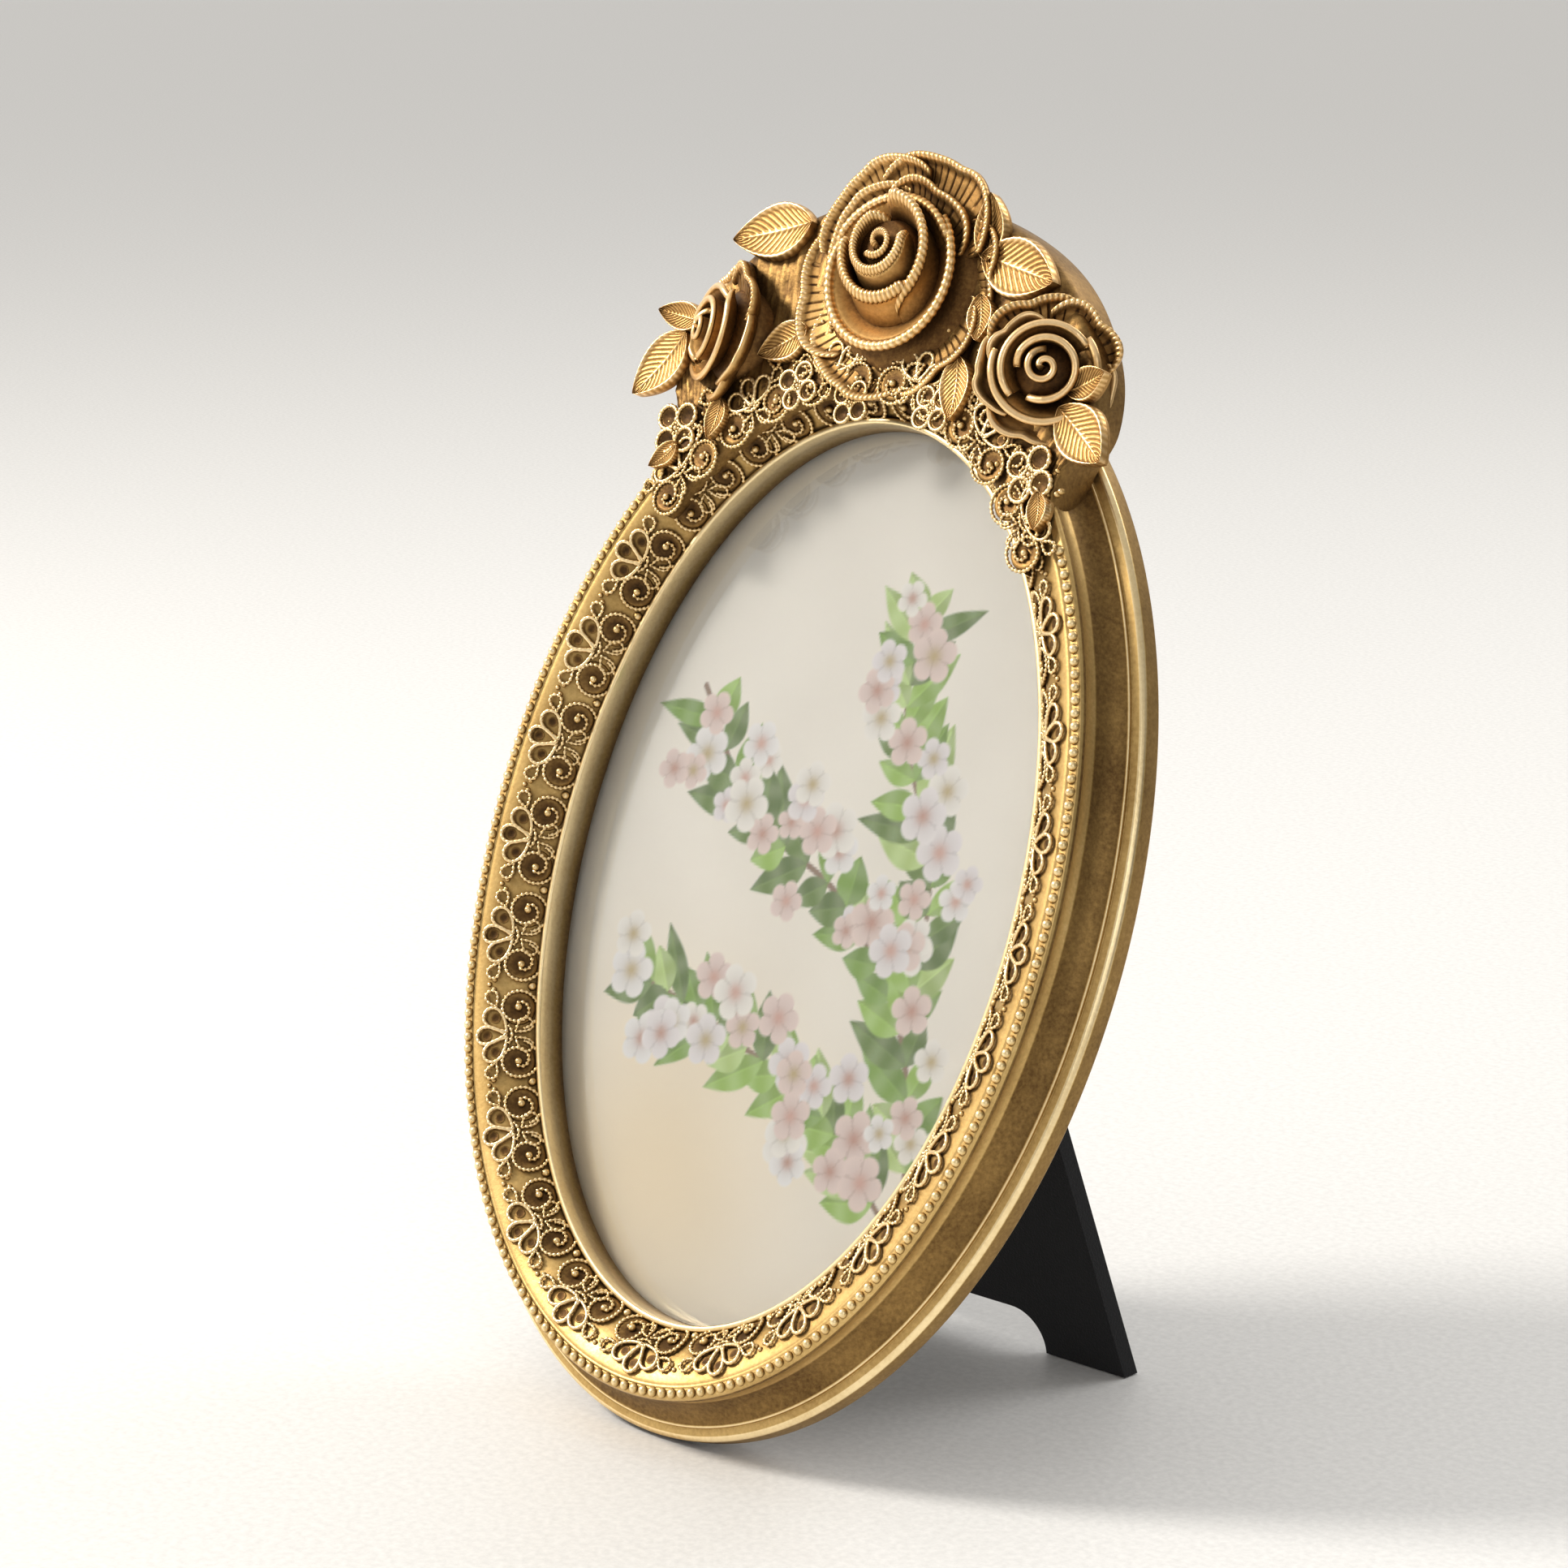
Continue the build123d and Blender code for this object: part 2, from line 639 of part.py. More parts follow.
def strut_pieces():
    """The stiff board, and the velvet sleeve that wraps it, both drawn hanging down."""
    core = extrude(strut_plan(strut_cover), strut_thickness - 2 * strut_cover)
    core = Pos(0, strut_rear - strut_cover, 0) * Rot(90, 0, 0) * core
    wrap = Pos(0, strut_rear, 0) * Rot(90, 0, 0) * extrude(strut_plan(0), strut_thickness)
    wrap = wrap - core
    for x in rivet_sites():
        hole = Pos(x, 0, -rivet_drop) * Cylinder(rivet_radius, 4 * strut_thickness, rotation=(90, 0, 0))
        core = core - hole
        wrap = wrap - hole
    return core, wrap


def write_front():
    moulding = frame_moulding()
    keep("frame_moulding", moulding, stands=True)
    keep("sight_collar", sight_collar())
    keep("bead_row", bead_row())
    keep("filigree_border", filigree_border())
    keep("border_studs", border_studs())
    write_crest(moulding)


def write_crest(moulding):
    bed = crest_bed(moulding)
    keep("crest_bed", bed)
    roses = {"centre": centre_rose(), "right": side_rose(1, bed, moulding), "left": side_rose(-1, bed, moulding)}
    cutters = []
    for side, (petals, cup, bud) in roses.items():
        keep(f"{side}_rose_petals", petals)
        keep(f"{side}_rose_cup", cup - bud)
        keep(f"{side}_rose_bud", bud)
        cutters += [petals, cup, bud]
    right = crest_leaves(right_leaf_shares, cutters)
    left = crest_leaves(left_leaf_shares, cutters)
    keep("right_leaves", Compound(children=right))
    keep("left_leaves", Compound(children=left))
    keep("small_blossoms", small_blossoms(cutters + right + left))


def write_back():
    keep("glass_pane", oval(pane_lap, glass_thickness, collar_depth))
    keep("picture_print", oval(pane_lap, print_thickness, glass_rear))
    keep("backing_card", oval(pane_lap, card_thickness, print_rear))
    rivet_height = hinge_height + rivet_drop
    board = riveted(oval(pane_lap, backboard_thickness, card_rear), 0, rivet_height)
    velvet = riveted(oval(pane_lap, velvet_thickness, backboard_rear), 0, rivet_height)
    keep("backboard", board)
    keep("backboard_velvet", velvet)
    names = ["upper_right", "upper_left", "lower_left", "lower_right"]
    screws = []
    for name, (turn, (x, z)) in zip(names, screw_places()):
        keep(f"turn_button_{name}", turn_button(turn, x, z))
        screws.append(Pos(x, back_depth, z) * button_screw())
    keep("turn_button_screws", Compound(children=screws))


def write_strut():
    at_pin = leaned * Pos(0, pin_depth, hinge_height)
    keep("hinge_fixed_leaf", hinge_fixed_leaf(), at_pin)
    keep("hinge_pin", hinge_pin(), at_pin)
    fixed_length = hinge_leaf_thickness + velvet_thickness + backboard_thickness
    fixed_face = -knuckle_radius - back_gap + hinge_leaf_thickness
    moving_length = hinge_leaf_thickness + strut_thickness
    moving_face = strut_rear + hinge_leaf_thickness
    fixed = [Pos(x, fixed_face, rivet_drop) * rivet(fixed_length) for x in rivet_sites()]
    moving = [Pos(x, moving_face, -rivet_drop) * rivet(moving_length) for x in rivet_sites()]
    keep("hinge_fixed_rivets", Compound(children=fixed), at_pin)
    keep("hinge_moving_rivets", Compound(children=moving), opened)
    running_bore = Cylinder(pin_radius + pin_play, 4 * hinge_half_width, rotation=(0, 90, 0))
    moving_leaf = opened * hinge_moving_leaf() + at_pin * stop_lug() - opened * running_bore
    keep("hinge_moving_leaf", moving_leaf, Location())
    core, wrap = strut_pieces()
    keep("strut_board", core, opened, stands=True)
    keep("strut_cover", wrap, opened, stands=True)


os.makedirs("parts", exist_ok=True)
write_front()
write_back()
write_strut()
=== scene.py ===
# %% [markdown]
# # An oval table frame with a crest of roses
# The frame is one thin casting of resin, painted dark and then rubbed with gold, so that
# the high places shine and the hollows stay brown. A glass, a print, a card and a velvet
# covered board sit behind it, and a folding strut holds it up. Each cell below makes one
# part of it, in the order that a workshop would.

# %% Open the measured model
import math
import random
import bpy
import numpy as np
from mathutils import Matrix, Vector


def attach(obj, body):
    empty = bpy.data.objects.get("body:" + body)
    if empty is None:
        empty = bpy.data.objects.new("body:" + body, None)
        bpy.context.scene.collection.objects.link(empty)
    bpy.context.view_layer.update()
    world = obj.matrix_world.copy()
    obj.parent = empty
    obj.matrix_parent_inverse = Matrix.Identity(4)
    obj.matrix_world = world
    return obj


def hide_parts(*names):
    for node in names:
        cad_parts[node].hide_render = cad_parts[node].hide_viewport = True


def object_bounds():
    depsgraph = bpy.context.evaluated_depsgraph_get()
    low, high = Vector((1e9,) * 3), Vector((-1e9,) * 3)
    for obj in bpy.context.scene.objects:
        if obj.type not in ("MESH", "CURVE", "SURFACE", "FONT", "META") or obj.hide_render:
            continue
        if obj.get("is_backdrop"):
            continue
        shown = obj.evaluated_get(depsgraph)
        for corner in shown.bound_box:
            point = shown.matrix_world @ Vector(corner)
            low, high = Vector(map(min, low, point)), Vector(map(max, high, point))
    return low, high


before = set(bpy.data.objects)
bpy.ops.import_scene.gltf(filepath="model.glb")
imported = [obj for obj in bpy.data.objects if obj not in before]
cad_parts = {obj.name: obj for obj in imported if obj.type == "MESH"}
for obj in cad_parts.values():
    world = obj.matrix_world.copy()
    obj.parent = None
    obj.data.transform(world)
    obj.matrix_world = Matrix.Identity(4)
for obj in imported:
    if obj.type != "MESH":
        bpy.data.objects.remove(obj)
low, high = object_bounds()
sizes = {"model_low": list(low), "model_high": list(high)}
random.seed(7)
rng = np.random.default_rng(7)

# %% [markdown]
# The frame is drawn square on, in millimetres: X to the right, Y towards the back and Z up
# the picture, with zero at the middle of the opening. It then leans back onto its strut.
# Working square on keeps the ring simple, and one small function leans every point.

# %% The opening, the lean and the ring
HALF_WIDTH, HALF_HEIGHT = 46.0, 70.0
LEAN = math.radians(21.4)
SIDE_REACH, SIDE_REAR, BACK = 17.0, 6.5, 11.6
CREST_FRONT = -5.6
FOOT = HALF_HEIGHT + SIDE_REACH
GROUND = FOOT * math.cos(LEAN) + SIDE_REAR * math.sin(LEAN) - 0.5
SET_BACK = FOOT * math.sin(LEAN) - SIDE_REAR * math.cos(LEAN)


def stand(points):
    """Leans points drawn square on, in millimetres, and gives metres on the table."""
    p = np.asarray(points, float).reshape(-1, 3)
    y = p[:, 1] * math.cos(LEAN) + p[:, 2] * math.sin(LEAN) + SET_BACK
    z = -p[:, 1] * math.sin(LEAN) + p[:, 2] * math.cos(LEAN) + GROUND
    return np.stack([p[:, 0], y, np.maximum(z, 0)], 1) / 1000


def ring(turn, reach):
    """X and Z at a turn in radians, a reach outward of the opening's edge."""
    n = np.arctan2(HALF_WIDTH * np.sin(turn), HALF_HEIGHT * np.cos(turn))
    x = HALF_WIDTH * np.cos(turn) + reach * np.cos(n)
    return x, HALF_HEIGHT * np.sin(turn) + reach * np.sin(n)


def outward(turn):
    return np.arctan2(HALF_WIDTH * np.sin(turn), HALF_HEIGHT * np.cos(turn))


def even_turns(count, reach):
    """Turns that divide the ring into equal lengths, starting at its lowest point."""
    walk = np.linspace(-math.pi / 2, 1.5 * math.pi, 6001)
    x, z = ring(walk, reach)
    run = np.concatenate([[0], np.cumsum(np.hypot(np.diff(x), np.diff(z)))])
    return np.interp(np.arange(count) / count * run[-1], run, walk), run[-1] / count


print("lowest point stands at", stand([[0, SIDE_REAR, -FOOT]])[0])

# %% [markdown]
# Every carved piece is a mesh that carries one extra number for each of its points: how
# much gold the rubbing cloth would leave there, with painted light mixed in: outer sides of
# wires, beads and rolled rims are lifted as painted highlight, and creases and the sides
# against the surface below are lowered as painted shade. The finish reads that number, so a
# groove can stay dark and a rim can shine without painting anything by hand.

# %% Mesh helpers
class Carving:
    """Collects points, faces and the share of gold that each point keeps, with painted highlight and painted shade
    mixed in.
    """

    def __init__(self):
        self.points, self.faces, self.gold, self.count = [], [], [], 0

    def add(self, points, faces, gold=0.5):
        points = np.asarray(points, float).reshape(-1, 3)
        self.points.append(points)
        self.faces.extend([tuple(int(i) + self.count for i in f) for f in faces])
        self.gold.append(np.broadcast_to(np.asarray(gold, float).ravel(), (len(points),)))
        self.count += len(points)

    def make(self, name, nodes, material, slot, body="root", smooth=True):
        mesh = bpy.data.meshes.new(name)
        mesh.from_pydata(stand(np.concatenate(self.points)).tolist(), [], self.faces)
        # The attribute holds the rubbed gold with painted highlight and painted shade mixed in.
        layer = mesh.attributes.new("gold", "FLOAT", "POINT")
        layer.data.foreach_set("value", np.concatenate(self.gold).astype(np.float32))
        mesh.polygons.foreach_set("use_smooth", [smooth] * len(mesh.polygons))
        mesh.materials.append(material)
        mesh.update()
        piece = bpy.data.objects.new(name, mesh)
        bpy.context.scene.collection.objects.link(piece)
        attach(piece, body)
        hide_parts(*nodes)
        print(name, len(mesh.vertices), "points")
        return piece


def grid_faces(rows, columns, wrap_rows=False, wrap_columns=False, flip=False):
    """Quads of a grid of points stored row by row."""
    faces = []
    for i in range(rows if wrap_rows else rows - 1):
        for j in range(columns if wrap_columns else columns - 1):
            a, b = i * columns + j, i * columns + (j + 1) % columns
            c, d = (i + 1) % rows * columns + (j + 1) % columns, (i + 1) % rows * columns + j
            faces.append((a, d, c, b) if flip else (a, b, c, d))
    return faces


def rounded(corners, radii):
    """A closed section whose corners are rounded by short arcs."""
    out = []
    n = len(corners)
    for i, (corner, radius) in enumerate(zip(corners, radii)):
        p, a, b = (np.array(q, float) for q in (corner, corners[i - 1], corners[(i + 1) % n]))
        if radius == 0:
            out.append(p)
            continue
        u, v = (a - p) / np.linalg.norm(a - p), (b - p) / np.linalg.norm(b - p)
        for t in np.linspace(0, 1, 5):
            out.append(p + radius * ((1 - t) ** 2 * u + t ** 2 * v))
    return np.array(out)


def sweep_ring(carving, section, gold, turns=720):
    """Carries a closed section (reach, depth) round the opening."""
    angles = np.linspace(0, 2 * math.pi, turns, endpoint=False)
    rows = []
    for a in angles:
        x, z = ring(a, section[:, 0])
        rows.append(np.stack([x, section[:, 1], z], 1))
    carving.add(np.concatenate(rows), grid_faces(turns, len(section), True, True), np.tile(gold, turns))


def tube(carving, path, normals, radius, gold, closed=False, sides=6):
    """A wire along a path; the normals keep its section square to the surface below."""
    path, normals = np.asarray(path, float), np.asarray(normals, float)
    if closed:
        along = np.roll(path, -1, 0) - np.roll(path, 1, 0)
    else:
        along = np.gradient(path, axis=0)
    along /= np.linalg.norm(along, axis=1)[:, None] + 1e-9
    across = np.cross(along, normals)
    across /= np.linalg.norm(across, axis=1)[:, None] + 1e-9
    radius = np.broadcast_to(radius, (len(path),))
    angles = np.linspace(0, 2 * math.pi, sides, endpoint=False)
    points = path[:, None] + radius[:, None, None] * (
        np.cos(angles)[None, :, None] * across[:, None] + np.sin(angles)[None, :, None] * normals[:, None])
    # The wire is lighter on its outer side and darker against the surface below: painted highlight and painted shade
    # over the rubbed gold.
    shade = np.clip(gold + 0.25 * np.sin(angles)[None, :] + np.zeros((len(path), 1)), 0, 1)
    faces = grid_faces(len(path), sides, closed, True)
    if not closed:
        faces += [tuple(range(sides))[::-1], tuple((len(path) - 1) * sides + i for i in range(sides))]
    carving.add(points, faces, shade)


def dome(carving, centre, normal, radius, gold, rise=1.0, rings=4, sides=10):
    """A small bead that sits on a surface."""
    normal = np.asarray(normal, float) / np.linalg.norm(normal)
    helper = np.array([0, 0, 1.0]) if abs(normal[2]) < 0.9 else np.array([1.0, 0, 0])
    u = np.cross(normal, helper)
    u /= np.linalg.norm(u)
    v = np.cross(normal, u)
    points, shade = [], []
    for i in range(rings):
        lift = math.pi / 2 * (i / rings * 1.25 - 0.25)
        for j in range(sides):
            a = 2 * math.pi * j / sides
            flat = math.cos(lift) * (math.cos(a) * u + math.sin(a) * v)
            points.append(centre + radius * (flat + rise * math.sin(lift) * normal))
            # A bead is brighter at the top and darker towards its foot: painted highlight and painted shade over the
            # rubbed gold.
            shade.append(gold * (0.35 + 0.65 * max(0.0, math.sin(lift)) ** 0.5))
    points.append(centre + radius * rise * normal)
    shade.append(gold)
    faces = grid_faces(rings, sides, False, True)
    last = rings * sides
    faces += [((rings - 1) * sides + j, (rings - 1) * sides + (j + 1) % sides, last) for j in range(sides)]
    carving.add(points, faces, shade)


print("helpers ready")

# %% [markdown]
# Antique gilding is a brown ground with gold rubbed over it. The finish mixes three tones:
# the dark ground in the hollows, a worn gold in between and a bright gold where the cloth
# rubbed hardest; the bright gold also serves as painted highlight. An occlusion test darkens
# hollows and the places under and between parts, as the brown ground and as painted shade.
# A fine speckle breaks the mix up, as the paint's own grain does.

# %% Finishes: the antique gilding, with painted shade and painted highlight
def group(name, inputs, outputs):
    tree = bpy.data.node_groups.new(name, "ShaderNodeTree")
    for label, kind, value in inputs:
        socket = tree.interface.new_socket(label, in_out="INPUT", socket_type=kind)
        if value is not None:
            socket.default_value = value
    for label, kind in outputs:
        tree.interface.new_socket(label, in_out="OUTPUT", socket_type=kind)
    return tree, tree.nodes.new("NodeGroupInput"), tree.nodes.new("NodeGroupOutput")


def noise(tree, scale, detail=3.0, rough=0.5):
    coordinates = tree.nodes.new("ShaderNodeTexCoord")
    node = tree.nodes.new("ShaderNodeTexNoise")
    node.inputs["Scale"].default_value = scale
    node.inputs["Detail"].default_value = detail
    node.inputs["Roughness"].default_value = rough
    tree.links.new(coordinates.outputs["Object"], node.inputs["Vector"])
    return node.outputs["Fac"]


def maths(tree, operation, a, b=None, clamp=False):
    node = tree.nodes.new("ShaderNodeMath")
    node.operation, node.use_clamp = operation, clamp
    for socket, value in zip(node.inputs, (a, b)):
        if isinstance(value, (int, float)):
            socket.default_value = value
        elif value is not None:
            tree.links.new(value, socket)
    return node.outputs[0]


def ramp(tree, fac, stops):
    node = tree.nodes.new("ShaderNodeValToRGB")
    elements = node.color_ramp.elements
    elements[0].position, elements[0].color = stops[0][0], (*stops[0][1], 1)
    elements[1].position, elements[1].color = stops[-1][0], (*stops[-1][1], 1)
    for position, colour in stops[1:-1]:
        elements.new(position).color = (*colour, 1)
    tree.links.new(fac, node.inputs["Fac"])
    return node.outputs["Color"]


gilding, g_in, g_out = group(
    "antique_gilding_and_painted_light",
    [("Hollow Reach", "NodeSocketFloat", 0.0022), ("Warmth", "NodeSocketFloat", 0.0)],
    [("Colour", "NodeSocketColor"), ("Roughness", "NodeSocketFloat"), ("Height", "NodeSocketFloat")],
)
gilt_and_light_node = gilding.nodes.new("ShaderNodeAttribute")
gilt_and_light_node.attribute_name = "gold"
# The occlusion test darkens the colour in hollows and under and between parts: painted shade, laid over the brown
# ground that the finish keeps there.
ground_and_shade_occlusion = gilding.nodes.new("ShaderNodeAmbientOcclusion")
ground_and_shade_occlusion.samples = 6
gilding.links.new(g_in.outputs["Hollow Reach"], ground_and_shade_occlusion.inputs["Distance"])
open_sky = maths(gilding, "ADD", maths(gilding, "MULTIPLY", ground_and_shade_occlusion.outputs["AO"], 0.72), 0.28)
speckle = noise(gilding, 1500.0, 4.0, 0.65)
cloud = noise(gilding, 90.0, 3.0)
mix = maths(gilding, "MULTIPLY", gilt_and_light_node.outputs["Fac"], open_sky)
mix = maths(gilding, "ADD", mix, maths(gilding, "MULTIPLY", maths(gilding, "SUBTRACT", speckle, 0.5), 0.34))
mix = maths(gilding, "ADD", mix, maths(gilding, "MULTIPLY", maths(gilding, "SUBTRACT", cloud, 0.5), 0.30), True)
tone = ramp(gilding, mix, [(0.0, (0.026, 0.013, 0.005)), (0.20, (0.120, 0.062, 0.018)), (0.45, (0.38, 0.230, 0.072)),
                           (0.70, (0.68, 0.460, 0.175)), (1.0, (1.0, 0.80, 0.46))])
copper = gilding.nodes.new("ShaderNodeMix")
copper.data_type = "RGBA"
copper.blend_type = "MULTIPLY"
copper.inputs["B"].default_value = (1.0, 0.68, 0.50, 1)
gilding.links.new(g_in.outputs["Warmth"], copper.inputs["Factor"])
gilding.links.new(tone, copper.inputs["A"])
gilding.links.new(copper.outputs["Result"], g_out.inputs["Colour"])
rough = maths(gilding, "SUBTRACT", 0.58, maths(gilding, "MULTIPLY", mix, 0.30))
gilding.links.new(rough, g_out.inputs["Roughness"])
gilding.links.new(maths(gilding, "ADD", maths(gilding, "MULTIPLY", speckle, 0.7), cloud), g_out.inputs["Height"])


def gilt(name, warmth=0.0, reach=0.0022, bump=0.05, metal=0.85):
    material = bpy.data.materials.new(name)
    material.use_nodes = True
    tree = material.node_tree
    shader = tree.nodes["Principled BSDF"]
    use = tree.nodes.new("ShaderNodeGroup")
    use.node_tree = gilding
    use.inputs["Hollow Reach"].default_value = reach
    use.inputs["Warmth"].default_value = warmth
    tree.links.new(use.outputs["Colour"], shader.inputs["Base Color"])
    tree.links.new(use.outputs["Roughness"], shader.inputs["Roughness"])
    shader.inputs["Metallic"].default_value = metal
    raised = tree.nodes.new("ShaderNodeBump")
    raised.inputs["Strength"].default_value = bump * 4
    raised.inputs["Distance"].default_value = 0.0002
    tree.links.new(use.outputs["Height"], raised.inputs["Height"])
    tree.links.new(raised.outputs["Normal"], shader.inputs["Normal"])
    return material


gold_ring = gilt("gilding_ring", 0.0, 0.0025)
gold_petal = gilt("gilding_petals", 0.35, 0.0035)
gold_bed = gilt("gilding_bed", 0.1, 0.0020, 0.12)
print("gilding finishes", gold_ring.name, gold_petal.name, gold_bed.name)

# %% [markdown]
# The other finishes are plain: clear glass, grey card, pressed fibreboard, black velvet
# flock that lightens at a glancing angle, plated steel and brass. Velvet gets its look
# from a short sheen over an almost black cloth.

# %% Finishes: glass, card, board, velvet and metals
def plain(name, colour, rough=0.5, metal=0.0, bump=0.0, scale=800.0, **more):
    material = bpy.data.materials.new(name)
    material.use_nodes = True
    tree = material.node_tree
    shader = tree.nodes["Principled BSDF"]
    grain = noise(tree, scale, 4.0, 0.6)
    low_tone = tuple(c * 0.86 for c in colour)
    tree.links.new(ramp(tree, grain, [(0.3, low_tone), (0.7, colour)]), shader.inputs["Base Color"])
    shader.inputs["Roughness"].default_value = rough
    shader.inputs["Metallic"].default_value = metal
    for label, value in more.items():
        shader.inputs[label.replace("_", " ")].default_value = value
    if bump:
        raised = tree.nodes.new("ShaderNodeBump")
        raised.inputs["Strength"].default_value = bump
        raised.inputs["Distance"].default_value = 0.0002
        tree.links.new(grain, raised.inputs["Height"])
        tree.links.new(raised.outputs["Normal"], shader.inputs["Normal"])
    return material


glass = bpy.data.materials.new("picture_glass")
glass.use_nodes = True
glass_shader = glass.node_tree.nodes["Principled BSDF"]
glass_shader.inputs["Base Color"].default_value = (1, 1, 1, 1)
glass_shader.inputs["Roughness"].default_value = 0.0
glass_shader.inputs["IOR"].default_value = 1.5
glass_shader.inputs["Transmission Weight"].default_value = 1.0
card = plain("grey_card", (0.48, 0.43, 0.36), 0.85, bump=0.2)
board = plain("fibreboard", (0.20, 0.115, 0.055), 0.75, bump=0.4, scale=500.0)
velvet = plain("black_velvet", (0.006, 0.006, 0.007), 0.9, bump=0.8, scale=2600.0, Sheen_Weight=0.07, Sheen_Roughness=0.4)
steel = plain("plated_steel", (0.52, 0.52, 0.53), 0.28, 1.0)
brass = plain("plated_brass", (0.62, 0.43, 0.17), 0.25, 1.0)
for node, material, slot in [
    ("glass_pane", glass, "glass"), ("backing_card", card, "card"), ("backboard", board, "fibreboard"),
    ("strut_board", board, "fibreboard"), ("backboard_velvet", velvet, "velvet"), ("strut_cover", velvet, "velvet"),
    ("hinge_fixed_leaf", steel, "hinge_steel"), ("hinge_moving_leaf", steel, "hinge_steel"), ("hinge_pin", steel, "hinge_steel"),
    ("hinge_fixed_rivets", steel, "hinge_steel"), ("hinge_moving_rivets", steel, "hinge_steel"),
    ("turn_button_screws", steel, "hinge_steel"), ("turn_button_upper_right", brass, "button_brass"),
    ("turn_button_upper_left", brass, "button_brass"), ("turn_button_lower_left", brass, "button_brass"),
    ("turn_button_lower_right", brass, "button_brass"),
]:
    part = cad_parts[node]
    part.data.materials.clear()
    part.data.materials.append(material)
print("plain finishes done")

# %% [markdown]
# The moulding is the body of the frame. Its face climbs from the opening as a rounded band
# to a narrow ridge, drops in a deep cove and ends in a thin flange. A real one is cast in a
# rubber mould. Here one section is carried round the opening, because the section never
# changes, and a ring made this way is smooth at any size.

# %% Moulding and sight collar
BAND = [(1.0, 1.2), (9.7, -5.0)]


def arc(start, end, bulge, count=24):
    """Points of an arc that bulges to the left of the way from start to end."""
    a, b = np.array(start, float), np.array(end, float)
    run = np.linalg.norm(b - a)
    left = np.array([-(b - a)[1], (b - a)[0]]) / run
    radius = (run * run / 4 + bulge * bulge) / (2 * abs(bulge))
    side = math.copysign(1, bulge)
    centre = (a + b) / 2 + left * (bulge - side * radius)
    t0 = math.atan2(*(a - centre)[::-1])
    t1 = math.atan2(*(b - centre)[::-1])
    turn = (t1 - t0 + math.pi) % (2 * math.pi) - math.pi
    t = t0 + turn * np.linspace(0, 1, count)
    return centre + radius * np.stack([np.cos(t), np.sin(t)], 1), centre, radius


band_points, band_centre, band_radius = arc(BAND[0], BAND[1], -1.3)
cove_points, _, _ = arc((11.65, -4.3), (14.6, 2.0), 1.3)
edge = rounded(
    [(14.6, 2.0), (15.0, 2.0), (15.0, 2.6), (16.4, 2.75), (17.0, 3.4), (17.0, 6.5), (16.4, 7.1), (11.6, 7.1),
     (11.0, 11.6), (3.6, 11.6), (3.6, 5.3), (1.0, 5.3)],
    [0, 0.15, 0.15, 0.25, 0.3, 0.3, 0.2, 0.2, 0.3, 0.2, 0.0, 0.0])
ridge = rounded([(9.7, -5.0), (11.3, -5.0), (11.65, -4.3), (12.2, -3.2)], [0.3, 0.3, 0.2, 0])[:15]
section = np.concatenate([band_points[:-1], ridge, cove_points[1:-1], edge])
reach, depth = section[:, 0], section[:, 1]
# The cove stays dark, the narrow ledge at its foot and the rounded front edge of the flange are lifted to the brightest
# gold as painted highlight lines, and the outer side and the back are darker.
gold = np.where(reach < 9.6, 0.62, 0.66)
gold = np.where((reach > 11.6) & (reach < 14.7) & (depth < 2.1), 0.30, gold)
gold = np.where((reach > 14.7) & (depth < 2.2), 1.0, gold)
gold = np.where((reach > 14.7) & (depth > 2.2) & (depth < 3.0), 0.62, gold)
gold = np.where((reach > 16.2) & (depth > 2.7) & (depth < 3.5), 0.95, gold)
gold = np.where((reach > 16.9) & (depth > 3.6), 0.42, gold)
gold = np.where(depth > 7.0, 0.35, gold)
moulding = Carving()
sweep_ring(moulding, section, gold)
moulding.make("Moulding", ["frame_moulding"], gold_ring, "gilt_resin")

collar_section = rounded([(0, 5.3), (0, 0), (1.0, 0), (1.0, 5.3)], [0, 0.4, 0.4, 0])
collar = Carving()
sweep_ring(collar, collar_section, np.where(collar_section[:, 1] < 0.5, 1.0, 0.74))
collar.make("Sight_collar", ["sight_collar"], gold_ring, "gilt_resin")

# %% [markdown]
# A row of small beads runs along the ridge. In the mould each bead is one dimple. They
# stop where the crest begins, so only the beads below it are made.

# %% Bead row
CREST_FOOT = 55.5
bead_turns, bead_step = even_turns(226, 10.5)
beads = Carving()
for turn in bead_turns:
    x, z = ring(turn, 10.5)
    if z < CREST_FOOT - 0.78:
        dome(beads, np.array([x, -4.95, z]), (0, -1, 0), 0.8, 0.95, 1.0, 5, 14)
beads.make("Bead_row", ["bead_row"], gold_ring, "gilt_resin")
print("bead step", round(bead_step, 3))


# %% [markdown]
# The band carries a lacework of wire scrolls: for each repeat two commas that curl round a
# small disc, and a fan of drop-shaped loops below them. The maker of the pattern laid real
# twisted wire on wax, so the wire here swells and thins along its length like a rope. One
# repeat is drawn flat and then bent onto the band, because the band is round both ways.

# %% Filigree border and its studs
BAND_LENGTH = np.linalg.norm(np.diff(band_points, axis=0), axis=1).sum()
BAND_START = math.atan2(*(band_points[0] - band_centre)[::-1])
BAND_SENSE = 1 if np.cross(band_points[0] - band_centre, band_points[1] - band_centre) > 0 else -1


def on_band(turn, along, lift=0.0):
    """Point and outward normal on the band's rounded face; along runs from the opening."""
    along = np.clip(along, 0, BAND_LENGTH)
    angle = BAND_START + along / band_radius * BAND_SENSE
    nr, nd = np.cos(angle), np.sin(angle)
    x, z = ring(turn, band_centre[0] + (band_radius + lift) * nr)
    n = outward(turn)
    depth_there = band_centre[1] + (band_radius + lift) * nd + 0 * x
    return np.stack([x, depth_there, z], -1), np.stack([nr * np.cos(n), nd + 0 * x, nr * np.sin(n)], -1)


